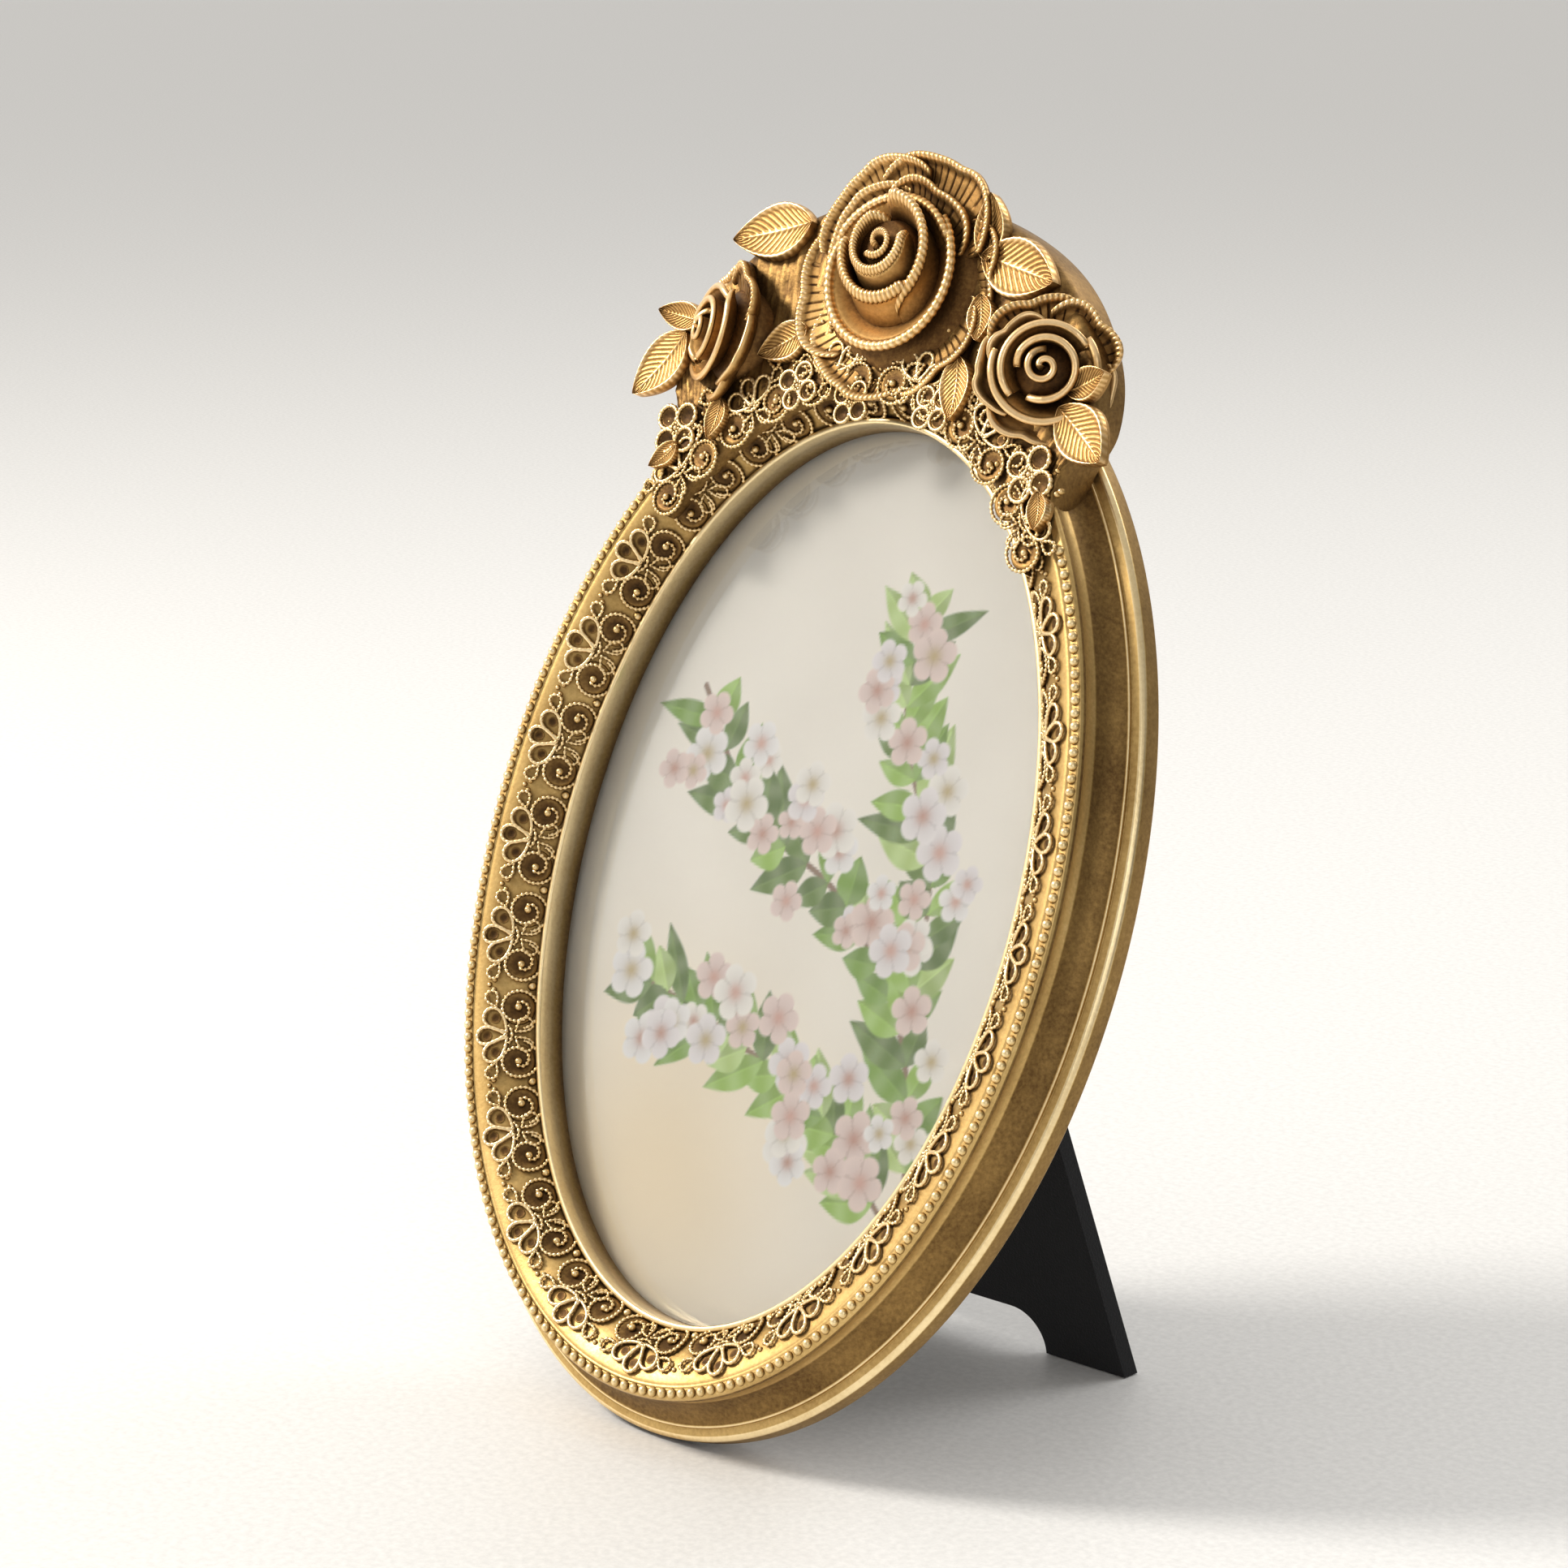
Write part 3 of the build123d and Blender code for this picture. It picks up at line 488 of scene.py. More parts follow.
def drop_loop(x, y, angle, length, width, step=0.16):
    """A closed drop-shaped loop whose point is at (x, y)."""
    t = np.linspace(0, 2 * math.pi, max(24, int(2.3 * length / step)), endpoint=False)
    u = length * (1 - np.cos(t)) / 2
    v = width / 2 * np.sin(t) * np.sin(t / 2) * 1.3
    c, s = math.cos(angle), math.sin(angle)
    return x + c * u - s * v, y + s * u + c * v


def comma(side, step=0.16):
    """An open scroll that curls inward round a disc."""
    t = np.linspace(0, 1, int(22 / step))
    radius = 3.0 * (1 - t) ** 0.6 + 0.35
    angle = math.radians(-165) + t * math.radians(560)
    u = 4.3 + radius * np.cos(angle) * 1.02
    v = -1.9 + radius * np.sin(angle)
    return side * u, v


def wire(carving, u, v, place, closed, radius=0.30, gold=0.95, rope=0.42, pitch=0.72, lift=0.5):
    """Lays a flat wire onto a surface; place turns (u, v, lift) into points and normals."""
    points, normals = place(u, v, lift)
    steps = np.concatenate([[0], np.cumsum(np.linalg.norm(np.diff(points, axis=0), axis=1))])
    beads_along = max(2, round(steps[-1] / pitch))
    swell = radius * (1 + rope * np.cos(2 * math.pi * steps / max(steps[-1], 0.1) * beads_along))
    # The troughs of the rope are darkened in step with its swell: painted shade between the twists.
    tube(carving, points, normals, swell, gold * np.clip(swell / radius, 0.45, 1.1)[:, None], closed)


def dish(carving, place, u, v, radius, gold, rise=0.35):
    """A shallow disc that fills the curl of a scroll."""
    angles = np.linspace(0, 2 * math.pi, 18, endpoint=False)
    rows, shades = [], []
    for share, lift, shade in [(1.0, 0.05, 0.4), (0.92, rise, 0.5), (0.75, rise * 0.8, gold), (0.4, rise * 0.45, gold * 0.6),
                               (0.02, rise * 0.4, gold * 0.6)]:
        p, _ = place(u + share * radius * np.cos(angles), v + share * radius * np.sin(angles), lift)
        rows.append(p)
        shades.append(np.full(18, shade))
    carving.add(np.concatenate(rows), grid_faces(5, 18, False, True), np.concatenate(shades))


unit_turns, unit_step = even_turns(25, 4.85)
walk_x, walk_z = ring(np.linspace(0, 2 * math.pi, 2001), 5.6)


def unit_place(turn):
    """Bends one repeat, drawn in millimetres along and across the band, onto it."""
    a, b = ring(turn - 0.01, 5.6), ring(turn + 0.01, 5.6)
    speed = math.hypot(b[0] - a[0], b[1] - a[1]) / 0.02
    return lambda u, v, lift: on_band(turn + np.asarray(u) / speed, 5.4 + np.asarray(v), lift)


def filigree_unit(carving, place, fan=True, tone=0.95):
    """Two scrolls round discs, a fan of loops outward and two small loops inward."""
    for side in (-1, 1):
        dish(carving, place, side * 4.35, -1.9, 2.75, 0.30, 0.42)
        u, v = comma(side)
        wire(carving, u, v, place, False, 0.27, tone)
        end, normal = place(np.array([side * 4.5]), np.array([-1.9]), 0.45)
        dome(carving, end[0], normal[0], 0.62, 0.9)
        u, v = drop_loop(side * 0.5, -1.6, math.radians(-90 + side * 40), 3.0, 2.1)
        wire(carving, u, v, place, True, 0.24, tone)
        u, v = drop_loop(side * 0.5, -0.2, math.radians(90 - side * 47), 4.7, 2.9)
        wire(carving, u, v, place, True, 0.31, tone, 0.10)
        dish(carving, place, side * 2.7, 1.65, 0.8, 0.22, 0.12)
        u, v = drop_loop(side * 4.6, 1.5, math.radians(90 - side * 62), 2.6, 1.9)
        wire(carving, u, v, place, True, 0.25, tone)
    if fan:
        u, v = drop_loop(0, -0.1, math.radians(90), 4.6, 2.7)
        wire(carving, u, v, place, True, 0.33, tone, 0.10)
        dish(carving, place, 0, 3.0, 0.8, 0.22, 0.12)
    u = np.linspace(-1.5, 1.5, 18)
    wire(carving, u, -1.0 + 0.25 * u * u, place, False, 0.26, tone)


filigree, studs = Carving(), Carving()
for turn in unit_turns:
    place = unit_place(turn)
    filigree_unit(filigree, place)
    if ring(turn, 9.7)[1] > CREST_FOOT:
        continue
    half = unit_step / 2
    for u, v, size in [(half, -3.9, 0.75), (half, 2.9, 0.42), (half - 0.75, 2.1, 0.42), (half + 0.75, 2.1, 0.42)]:
        p, n = place(np.array([u]), np.array([v]), 0.0)
        dome(studs, p[0], n[0], size, 0.95, 1.1)
filigree.make("Filigree_border", ["filigree_border"], gold_bed, "gilt_resin")
studs.make("Border_studs", ["border_studs"], gold_bed, "gilt_resin")

# %% [markdown]
# The crest grows out of the moulding as a thick bed that carries the flowers. Its face is
# stippled and partly covered with the same wire loops as the band. It is built as a shell
# from the inner edge of the band, over the face and down the outer side.

# %% Crest bed
OUTLINE = [(0.86, 0.0), (0.865, 0.10), (0.875, 0.22), (0.93, 0.36), (0.89, 0.54), (0.74, 0.735), (0.54, 0.87),
           (0.27, 0.965), (0.0, 1.0)]


def smooth_curve(points, count):
    """A smooth curve through points, by Catmull-Rom pieces."""
    p = np.array(points, float)
    p = np.vstack([2 * p[0] - p[1], p, 2 * p[-1] - p[-2]])
    out = []
    pieces = len(p) - 3
    for s in np.linspace(0, pieces - 1e-6, count):
        i, t = int(s), s - int(s)
        a, b, c, d = p[i:i + 4]
        out.append(0.5 * (2 * b + (c - a) * t + (2 * a - 5 * b + 4 * c - d) * t * t + (3 * b - a - 3 * c + d) * t ** 3))
    return np.array(out)


right_edge = smooth_curve([(x * 45, CREST_FOOT + z * 49.5) for x, z in OUTLINE], 150)
outline = np.vstack([right_edge, right_edge[-2::-1] * [-1, 1]])
columns = len(outline)
turns_out = np.arctan2(outline[:, 1] / HALF_HEIGHT, outline[:, 0] / HALF_WIDTH)
inner = np.stack(ring(turns_out, 3.6), 1)
rows, shade_rows = [], []
profile = [(1.0, 2.0, 0), (1.0, -3.9, 0), (0.985, -4.9, 0), (0.955, -5.5, 0)]
profile += [(s, -5.6, 0) for s in np.linspace(0.92, 0.10, 16)] + [(0.03, -5.2, 0), (0.0, -4.4, 0), (0.0, 0.5, 0)]
for share, level, _ in profile:
    p = inner + (outline - inner) * share
    bump = 0.28 * np.sin(p[:, 0] * 2.3 + 1.7 * np.sin(p[:, 1] * 1.9)) * np.sin(p[:, 1] * 2.1) if -5.65 < level < -5.4 else 0
    rows.append(np.stack([p[:, 0], np.full(columns, level) - bump, p[:, 1]], 1))
    shade_rows.append(np.full(columns, 0.34) + 0.5 * np.asarray(bump))
bed = Carving()
bed.add(np.concatenate(rows), grid_faces(len(profile), columns, False, False, True), np.concatenate(shade_rows))
back_points = np.concatenate([rows[0], np.stack([inner[:, 0], np.full(columns, 2.0), inner[:, 1]], 1)])
bed.add(back_points, grid_faces(2, columns), 0.3)


def flat_place(cx, cz, turn):
    """Lays a flat drawing on the crest's face, turned in its plane."""
    c, s = math.cos(turn), math.sin(turn)

    def place(u, v, lift):
        u, v = np.asarray(u, float), np.asarray(v, float)
        points = np.stack([cx + c * u - s * v, np.zeros_like(u) + CREST_FRONT - lift, cz + s * u + c * v], -1)
        return points, np.broadcast_to(np.array([0, -1.0, 0]), points.shape)
    return place


for turn in unit_turns:
    x, z = ring(turn, 7.0)
    if ring(turn, 9.7)[1] <= CREST_FOOT:
        continue
    filigree_unit(bed, flat_place(x, z, outward(turn) - math.pi / 2), tone=0.70)
for i in range(150):
    turn = math.radians(rng.uniform(50, 130))
    x, z = ring(turn, rng.uniform(4.2, 16))
    dome(bed, np.array([x, CREST_FRONT, z]), (0, -1, 0), rng.uniform(0.3, 0.6), 0.85, 1.2)
for turn in np.radians(np.linspace(48, 132, 16)):
    x, z = ring(turn, rng.uniform(5, 13))
    u, v = drop_loop(0, 0, 0, rng.uniform(2.6, 3.8), rng.uniform(1.8, 2.6))
    wire(bed, u, v, flat_place(x, z, rng.uniform(0, 6.28)), True, 0.3, 0.70)
bed.make("Crest_bed", ["crest_bed"], gold_bed, "gilt_resin")


# %% [markdown]
# A rose is a stack of thin petals. Each petal is a curved sheet with a roped rim and fine
# cuts that run in from it, which is how a carver marks a petal in wax. The open petals lie
# nearly flat, the cup stands up round the heart, and the heart is one long petal rolled up.

# %% Rose petals as curved sheets
def petal_sheet(carving, place, outer, base, thickness, gold, cuts, rim_width=1.25):
    """Builds a thick petal between a base curve and a rim curve, both given as points
    (right, up, height). cuts is how many grooves run in from the rim; none leaves it smooth."""
    n = len(outer)
    u = np.linspace(0, 1, n)
    size = np.linalg.norm(outer - base, axis=1)
    share = np.clip(rim_width / size, 0.05, 0.4)
    place_of_cut = (cuts * u + 0.22 * np.sin(11 * u) + 0.13 * np.sin(29 * u)) % 1 if cuts else np.full(n, 0.5)
    cut = np.clip(1 - np.abs(place_of_cut - 0.5) / 0.15, 0, 1) if cuts else np.zeros(n)
    start = 0.52 + 0.20 * np.sin(37 * u) * np.sin(11 * u + 1)
    rope = 0.5 + 0.5 * np.cos(2 * math.pi * cuts * 2.0 * u) if cuts else np.ones(n)
    rows, shades = [], []
    levels = np.concatenate([np.linspace(0, 0.70, 10), np.linspace(0.74, 1.0, 14)])
    for v in levels:
        p = base + (outer - base) * v
        p[:, 2] -= 0.10 * math.sin(math.pi * v) * size
        w = (1 - v) / share
        on_rim = np.clip(1 - ((w - 0.5) / 0.62) ** 2, 0, 1) ** 0.7
        groove = cut * np.clip((v - start) / 0.05, 0, 1) * np.clip((w - 0.9) / 0.2, 0, 1)
        p[:, 2] += 0.60 * on_rim * (0.72 + 0.28 * rope) - 0.20 * groove
        rows.append(p)
        # The cuts, the hatch across the roped rim and the crease just inside it are darkened, as the dark ground and as
        # painted shade; the petal also darkens towards its base.
        tone = gold * (0.66 + 0.34 * v) * (1 - 0.85 * groove)
        tone = tone * (1 - on_rim) + on_rim * (0.62 + 0.38 * rope ** 0.6)
        shades.append(np.clip(tone - 0.30 * np.exp(-((w - 1.35) / 0.25) ** 2), 0.02, 1))
    for v in levels[::-1]:
        p = base + (outer - base) * v
        p[:, 2] -= 0.10 * math.sin(math.pi * v) * size + thickness * (1 - 0.55 * v ** 6)
        rows.append(p)
        shades.append(np.full(n, gold * 0.5))
    m = len(rows)
    faces = grid_faces(m, n, True, False)
    for side in (0, n - 1):
        ids = [i * n + side for i in range(m)]
        for i in range(m // 2 - 1):
            quad = (ids[i], ids[i + 1], ids[m - 2 - i], ids[m - 1 - i])
            faces.append(quad if side == 0 else quad[::-1])
    carving.add(place(np.concatenate(rows)), faces, np.concatenate(shades))


def rose_place(cx, cy, cz, tilt, lean_up=0.0):
    """Turns rose points (right, up, towards the viewer) into the frame's drawing."""
    c, s = math.cos(tilt), math.sin(tilt)

    def place(p):
        x, y, h = p[:, 0], p[:, 1] + lean_up * p[:, 2], p[:, 2]
        return np.stack([cx + x * c + h * s, cy + x * s - h * c, cz + y], 1)
    return place


def open_petal(carving, place, middle, span, reach_out, height, gold, cuts, wave=0.8, inner_share=0.30, drop=1.0, notch=0.02):
    """One open petal: its middle direction and span in degrees, its reach from the axis."""
    u = np.linspace(-1, 1, 261 if cuts else 121)
    a = math.radians(middle) + u * math.radians(span / 2)
    r = reach_out * (1 - 0.17 * np.abs(u) ** 3.5 + notch * np.sin(6 * u + middle) - notch * np.exp(-(u / 0.12) ** 2))
    rim = np.stack([r * np.cos(a), r * np.sin(a), height + wave * np.cos(2.4 * u + middle) - drop * u ** 2], 1)
    r0 = reach_out * inner_share
    base = np.stack([r0 * np.cos(a), r0 * np.sin(a), np.full_like(a, max(0.4, height - 1.2))], 1)
    petal_sheet(carving, place, rim, base, 1.5, gold, cuts)


def wall_petal(carving, place, start, sweep, foot, rim, z_foot, z_rim, gold, cuts=0, centre=(0, 0), thickness=1.0, lip=0.5, roll=0.8):
    """A standing petal from a start angle through a sweep. foot and rim give its radius at
    the two ends, lip how far it flares and roll how thick its rolled edge is."""
    t = np.linspace(0, 1, max(90, int(abs(sweep) * (1.2 if cuts else 0.6))))
    a = np.radians(start + sweep * t)
    rf, rr = foot[0] + (foot[1] - foot[0]) * t, rim[0] + (rim[1] - rim[0]) * t
    fade = np.clip(np.minimum(t, 1 - t) / 0.10, 0, 1) ** 0.5
    zr = z_foot + (z_rim[0] + (z_rim[1] - z_rim[0]) * t - z_foot) * (0.55 + 0.45 * fade)
    away = np.stack([np.cos(a), np.sin(a), np.zeros_like(a)], 1)
    hub = np.array([centre[0], centre[1], 0])
    top = hub + away * rr[:, None] + np.stack([0 * a, 0 * a, zr], 1)
    low_edge = hub + away * rf[:, None] + np.array([0, 0, z_foot])
    rope = 0.5 + 0.5 * np.cos(2 * math.pi * cuts * t) if cuts else np.full(len(t), 0.85)
    rows, shades = [], []
    # The faces darken towards the foot and the top of the rolled rim is lighter: painted shade low in the cup and
    # painted highlight along the roll.
    for v in np.concatenate([np.linspace(0, 0.8, 7), [0.9, 1.0]]):
        rows.append(low_edge + (top - low_edge) * v + away * (lip * v ** 4))
        shades.append(np.full(len(t), gold * (0.60 + 0.40 * v)))
    swell = roll * (0.42 + 0.08 * rope)
    for k in np.linspace(-0.15, 1.05, 8):
        c, z = math.cos(math.pi * k), math.sin(math.pi * k)
        rows.append(top + away * (lip - thickness / 2 + (swell + 0.1) * c)[:, None] + np.stack([0 * a, 0 * a, swell * z], 1))
        shades.append(np.clip(0.60 + 0.40 * rope ** 0.6 + 0 * t, 0, 1) * (0.75 + 0.25 * max(z, 0)))
    for v in np.concatenate([[0.9], np.linspace(0.8, 0, 7)]):
        rows.append(low_edge + (top - low_edge) * v + away * (lip * v ** 4 - thickness))
        shades.append(np.full(len(t), gold * (0.45 + 0.45 * v)))
    m, n = len(rows), len(t)
    faces = grid_faces(m, n, True, False, True)
    for side in (0, n - 1):
        ids = tuple(i * n + side for i in range(m))
        faces.append(ids if side == 0 else ids[::-1])
    carving.add(place(np.concatenate(rows)), faces, np.clip(np.concatenate(shades), 0, 1))


# %% The centre rose
place = rose_place(0, CREST_FRONT, 91.5, 0)
petals = Carving()
for middle, span, reach_out, height, cuts in [
        (252, 92, 19.6, 1.0, 19), (313, 80, 19.4, 1.3, 16), (5, 70, 19.0, 1.2, 14), (193, 88, 20.0, 1.4, 17),
        (128, 88, 19.8, 2.3, 18), (66, 98, 19.6, 2.6, 18)]:
    open_petal(petals, place, middle, span, reach_out, height, 0.66, cuts)
for middle, span, reach_out, height, cuts in [(140, 96, 15.6, 2.9, 14), (68, 96, 15.0, 3.2, 14)]:
    open_petal(petals, place, middle, span, reach_out, height, 0.60, cuts)
t = np.linspace(0, 2 * math.pi, 60, endpoint=False)
plate = [np.stack([r * np.cos(t), r * np.sin(t), np.full(60, h)], 1) for r, h in [(15, -0.3), (13, 1.0), (0.1, 1.6)]]
petals.add(place(np.concatenate(plate)), grid_faces(3, 60, False, True), 0.25)
petals.make("Centre_rose_petals", ["centre_rose_petals"], gold_petal, "gilt_resin")

cup = Carving()
lifted = rose_place(0, CREST_FRONT, 90.3, 0, 0.62)
wall_petal(cup, rose_place(0, CREST_FRONT, 91.5, 0), 150, 262, (8.6, 8.8), (11.8, 11.8), 1.4, (3.8, 3.3), 0.62, 46, thickness=1.3, roll=1.5)
wall_petal(cup, rose_place(0, CREST_FRONT, 91.5, 0), 30, 135, (8.6, 8.6), (11.4, 11.9), 1.6, (3.8, 4.2), 0.60, 26, thickness=1.2, roll=1.4)
wall_petal(cup, lifted, 165, 165, (8.6, 8.4), (7.9, 7.4), 1.6, (6.6, 6.0), 0.66, 26, thickness=1.6, roll=1.6, lip=0.7)
wall_petal(cup, lifted, -62, 165, (8.8, 8.4), (7.6, 7.8), 1.6, (5.2, 7.2), 0.64, 26, thickness=1.6, roll=1.6, lip=0.9)
cup.make("Centre_rose_cup", ["centre_rose_cup"], gold_petal, "gilt_resin")

bud = Carving()
wall_petal(bud, lifted, 95, 300, (7.0, 6.0), (5.4, 5.0), 2.0, (7.2, 8.2), 0.64, 42, thickness=1.4, roll=1.3, lip=0.3)
wall_petal(bud, lifted, 200, 420, (3.4, 1.0), (3.1, 0.9), 3.0, (7.8, 7.6), 0.62, 30, thickness=0.9, roll=1.0, lip=0.1)
core = [np.stack([r * np.cos(t), r * np.sin(t), np.full(60, h)], 1) for r, h in [(7.4, 1.6), (6.0, 4.6), (4.4, 6.2), (0.1, 6.3)]]
bud.add(lifted(np.concatenate(core)), grid_faces(4, 60, False, True), 0.22)
bud.make("Centre_rose_bud", ["centre_rose_bud"], gold_petal, "gilt_resin")

# %% [markdown]
# The side roses are smaller and turned outward, so that one looks at the viewer and the
# other away. Their hearts show as a spiral of nested rims.

# %% The side roses
for side, label in [(1, "right"), (-1, "left")]:
    place = rose_place(side * 32.3, CREST_FRONT, 79.7, side * math.radians(30))
    petals = Carving()
    for middle, span, reach_out, height, cuts in [
            (262, 104, 11.2, 0.8, 0), (335, 90, 10.8, 1.1, 0), (118, 108, 11.6, 1.2, 13), (55, 90, 11.4, 1.5, 11), (195, 88, 10.9, 1.4, 0),
            (150, 90, 9.4, 2.0, 0)]:
        open_petal(petals, place, middle, span, reach_out, height, 0.66, cuts, 0.5, 0.25, 0.6, 0.03)
    skirt = [np.stack([r * np.cos(t), r * np.sin(t), np.full(60, h)], 1) for r, h in [(7.5, -5), (8.0, -0.6), (6.0, 1.2), (0.1, 1.6)]]
    petals.add(place(np.concatenate(skirt)), grid_faces(4, 60, False, True), 0.3)
    petals.make(f"{label.capitalize()}_rose_petals", [f"{label}_rose_petals"], gold_petal, "gilt_resin")
    cup = Carving()
    wall_petal(cup, place, 170, 240, (5.8, 5.6), (8.2, 7.6), 1.2, (3.0, 3.6), 0.66, thickness=1.0, roll=1.1, lip=0.4)
    wall_petal(cup, place, 40, 190, (5.2, 5.0), (7.0, 6.6), 1.4, (3.8, 4.2), 0.64, thickness=1.0, roll=1.0, lip=0.3)
    cup.make(f"{label.capitalize()}_rose_cup", [f"{label}_rose_cup"], gold_petal, "gilt_resin")
    bud = Carving()
    wall_petal(bud, place, 250, 300, (4.9, 4.4), (5.1, 4.4), 1.4, (4.4, 5.0), 0.64, thickness=0.9, roll=1.0, lip=0.2)
    wall_petal(bud, place, 100, 500, (3.4, 0.6), (3.0, 0.5), 1.6, (5.2, 5.8), 0.66, thickness=0.6, roll=0.9, lip=0.1)
    core = [np.stack([r * np.cos(t), r * np.sin(t), np.full(60, h)], 1) for r, h in [(5.0, 1.2), (4.2, 3.2), (0.1, 3.9)]]
    bud.add(place(np.concatenate(core)), grid_faces(3, 60, False, True), 0.2)
    bud.make(f"{label.capitalize()}_rose_bud", [f"{label}_rose_bud"], gold_petal, "gilt_resin")


# %% [markdown]
# Leaves fill the corners between the roses. Each is a pointed blade, thick at its edge,
# with a sunk midrib and side veins pressed in with a tool.

# %% Leaves
def leaf(carving, x, z, turn, length, width, depth=CREST_FRONT, curl=0.6, ribs=13, rise=1.2):
    c, s = math.cos(math.radians(turn)), math.sin(math.radians(turn))
    us, vs = np.linspace(0, 1, 110), np.linspace(-1, 1, 45)
    half = width / 2 * np.sin(math.pi * us ** 0.85) ** 0.8
    half[-1] = 0.02
    half[0] = 0.02
    rows, shades = [], []
    for u, h in zip(us, half):
        vein = 0.5 + 0.5 * np.cos(2 * math.pi * (ribs * (u - 0.30 * np.abs(vs))))
        rim = np.exp(-((np.abs(vs) - 0.88) / 0.10) ** 2)
        mid = np.exp(-(vs / 0.07) ** 2)
        lift = rise + 0.42 * rim + 0.30 * mid + 0.16 * vein * (1 - rim) * (1 - mid) + curl * u * u - 0.5 * (1 - np.abs(vs)) * math.sin(math.pi * u)
        lift = lift - 1.2 * (np.abs(vs) > 0.99)
        along, across = u * length, vs * h
        rows.append(np.stack([x + c * along - s * across, depth - lift, z + s * along + c * across], 1))
        shades.append(np.clip(0.34 + 0.34 * vein + 0.30 * mid + 0.45 * rim, 0.05, 1))
    carving.add(np.concatenate(rows), grid_faces(110, 45, flip=True), np.concatenate(shades))
    under = []
    for u, h in zip(us, half):
        along, across = u * length, vs[[0, -1]] * h
        under.append(np.stack([x + c * along - s * across, np.full(2, depth + 0.4 - curl * u * u), z + s * along + c * across], 1))
    carving.add(np.concatenate(under), grid_faces(110, 2), 0.3)
    edges = []
    for k in (0, -1):
        strip = []
        for r, b in zip(rows, under):
            strip += [r[k], b[0 if k == 0 else 1]]
        edges.append(strip)
    carving.add(np.array(edges[0]), grid_faces(110, 2, flip=True), 0.5)
    carving.add(np.array(edges[1]), grid_faces(110, 2), 0.5)


right_leaves, left_leaves = Carving(), Carving()
for x, z, turn, length, width in [(15.5, 96, -12, 15.5, 9.5), (16.5, 95, 100, 10.5, 6), (37, 74.5, -35, 12.6, 8.5), (37.5, 77, 27, 7.5, 5.4),
                                  (15.5, 80.5, -79, 10.2, 5.8), (17, 90, -75, 7.5, 5), (36.9, 61.9, -75, 6, 3.8)]:
    leaf(right_leaves, x, z, turn, length, width)
for x, z, turn, length, width in [(-20, 98.5, 196, 15.4, 9.4), (-40.5, 79, 236, 13.3, 8.5), (-15.5, 82, 214, 9.7, 6.5), (-38, 81, 174, 9, 5),
                                  (-29.8, 69.5, 270, 6.8, 4.2), (-36.5, 61.4, 228, 6, 3.8)]:
    leaf(left_leaves, x, z, turn, length, width)
right_leaves.make("Right_leaves", ["right_leaves"], gold_petal, "gilt_resin")
left_leaves.make("Left_leaves", ["left_leaves"], gold_petal, "gilt_resin")

# %% [markdown]
# Small four-petalled blossoms of looped wire cover the joints between the crest and the
# band. Every loop holds a shallow dish, and a ring of tiny beads marks the middle.

# %% Small blossoms
blossoms = Carving()
for x, z, turn, size in [(-37.9, 63.7, 10, 1.0), (34.2, 64.3, 20, 1.0), (12.7, 72.1, 0, 0.85), (-14.9, 72.9, 30, 0.85), (-3.5, 71.4, 15, 0.8)]:
    for i in range(4):
        angle = math.radians(turn + 45 + 90 * i)
        cx, cz = x + 2.7 * size * math.cos(angle), z + 2.7 * size * math.sin(angle)
        place = flat_place(cx, cz, 0)
        a = np.linspace(0, 2 * math.pi, 40, endpoint=False)
        wire(blossoms, 1.85 * size * np.cos(a), 1.85 * size * np.sin(a), place, True, 0.36 * size, 0.70, 0.25, 0.5, 0.8)
        dish(blossoms, place, 0, 0, 1.7 * size, 0.2, 0.8)
    for i in range(8):
        a = 2 * math.pi * i / 8
        dome(blossoms, np.array([x + 0.75 * size * math.cos(a), CREST_FRONT - 1.0, z + 0.75 * size * math.sin(a)]), (0, -1, 0), 0.3 * size, 0.95)
    dome(blossoms, np.array([x, CREST_FRONT - 0.8, z]), (0, -1, 0), 0.55 * size, 0.95)
blossoms.make("Small_blossoms", ["small_blossoms"], gold_bed, "gilt_resin")

# %% [markdown]
# The print is any flower picture of the right size. This one is a loose garland that is
# worked out point by point: a cream ground with a warm wash, arching stems, pointed leaves
# and five-petalled flowers. Its colours are kept on the sheet's own points.

# %% Picture print
STEP = 0.3
half_x, half_z = HALF_WIDTH + 3.2, HALF_HEIGHT + 3.2
gx = np.arange(-half_x, half_x + STEP, STEP)
gz = np.arange(-half_z, half_z + STEP, STEP)
X, Z = np.meshgrid(gx, gz)
inside = (X / half_x) ** 2 + (Z / half_z) ** 2 <= 1
colour = np.empty(X.shape + (3,))
wash = np.exp(-((X + 18) ** 2 + (Z + 52) ** 2) / 900)
colour[:] = (0.88, 0.84, 0.75)
colour += wash[..., None] * np.array([0.02, -0.08, -0.22])
colour += 0.015 * np.sin(X * 0.21 + 1.4 * np.sin(Z * 0.13))[..., None]


def paint(mask, tone):
    m = np.clip(mask, 0, 1)[..., None]
    colour[:] = colour * (1 - m) + np.broadcast_to(np.asarray(tone, float), colour.shape) * m


def stem(points, width, tone):
    curve = smooth_curve(points, 90)
    best = np.full(X.shape, 99.0)
    for a, b in zip(curve, curve[1:]):
        d = b - a
        s = np.clip(((X - a[0]) * d[0] + (Z - a[1]) * d[1]) / (d @ d + 1e-9), 0, 1)
        best = np.minimum(best, np.hypot(X - a[0] - s * d[0], Z - a[1] - s * d[1]))
    paint((width - best) / 0.25 + 0.5, tone)
    return curve


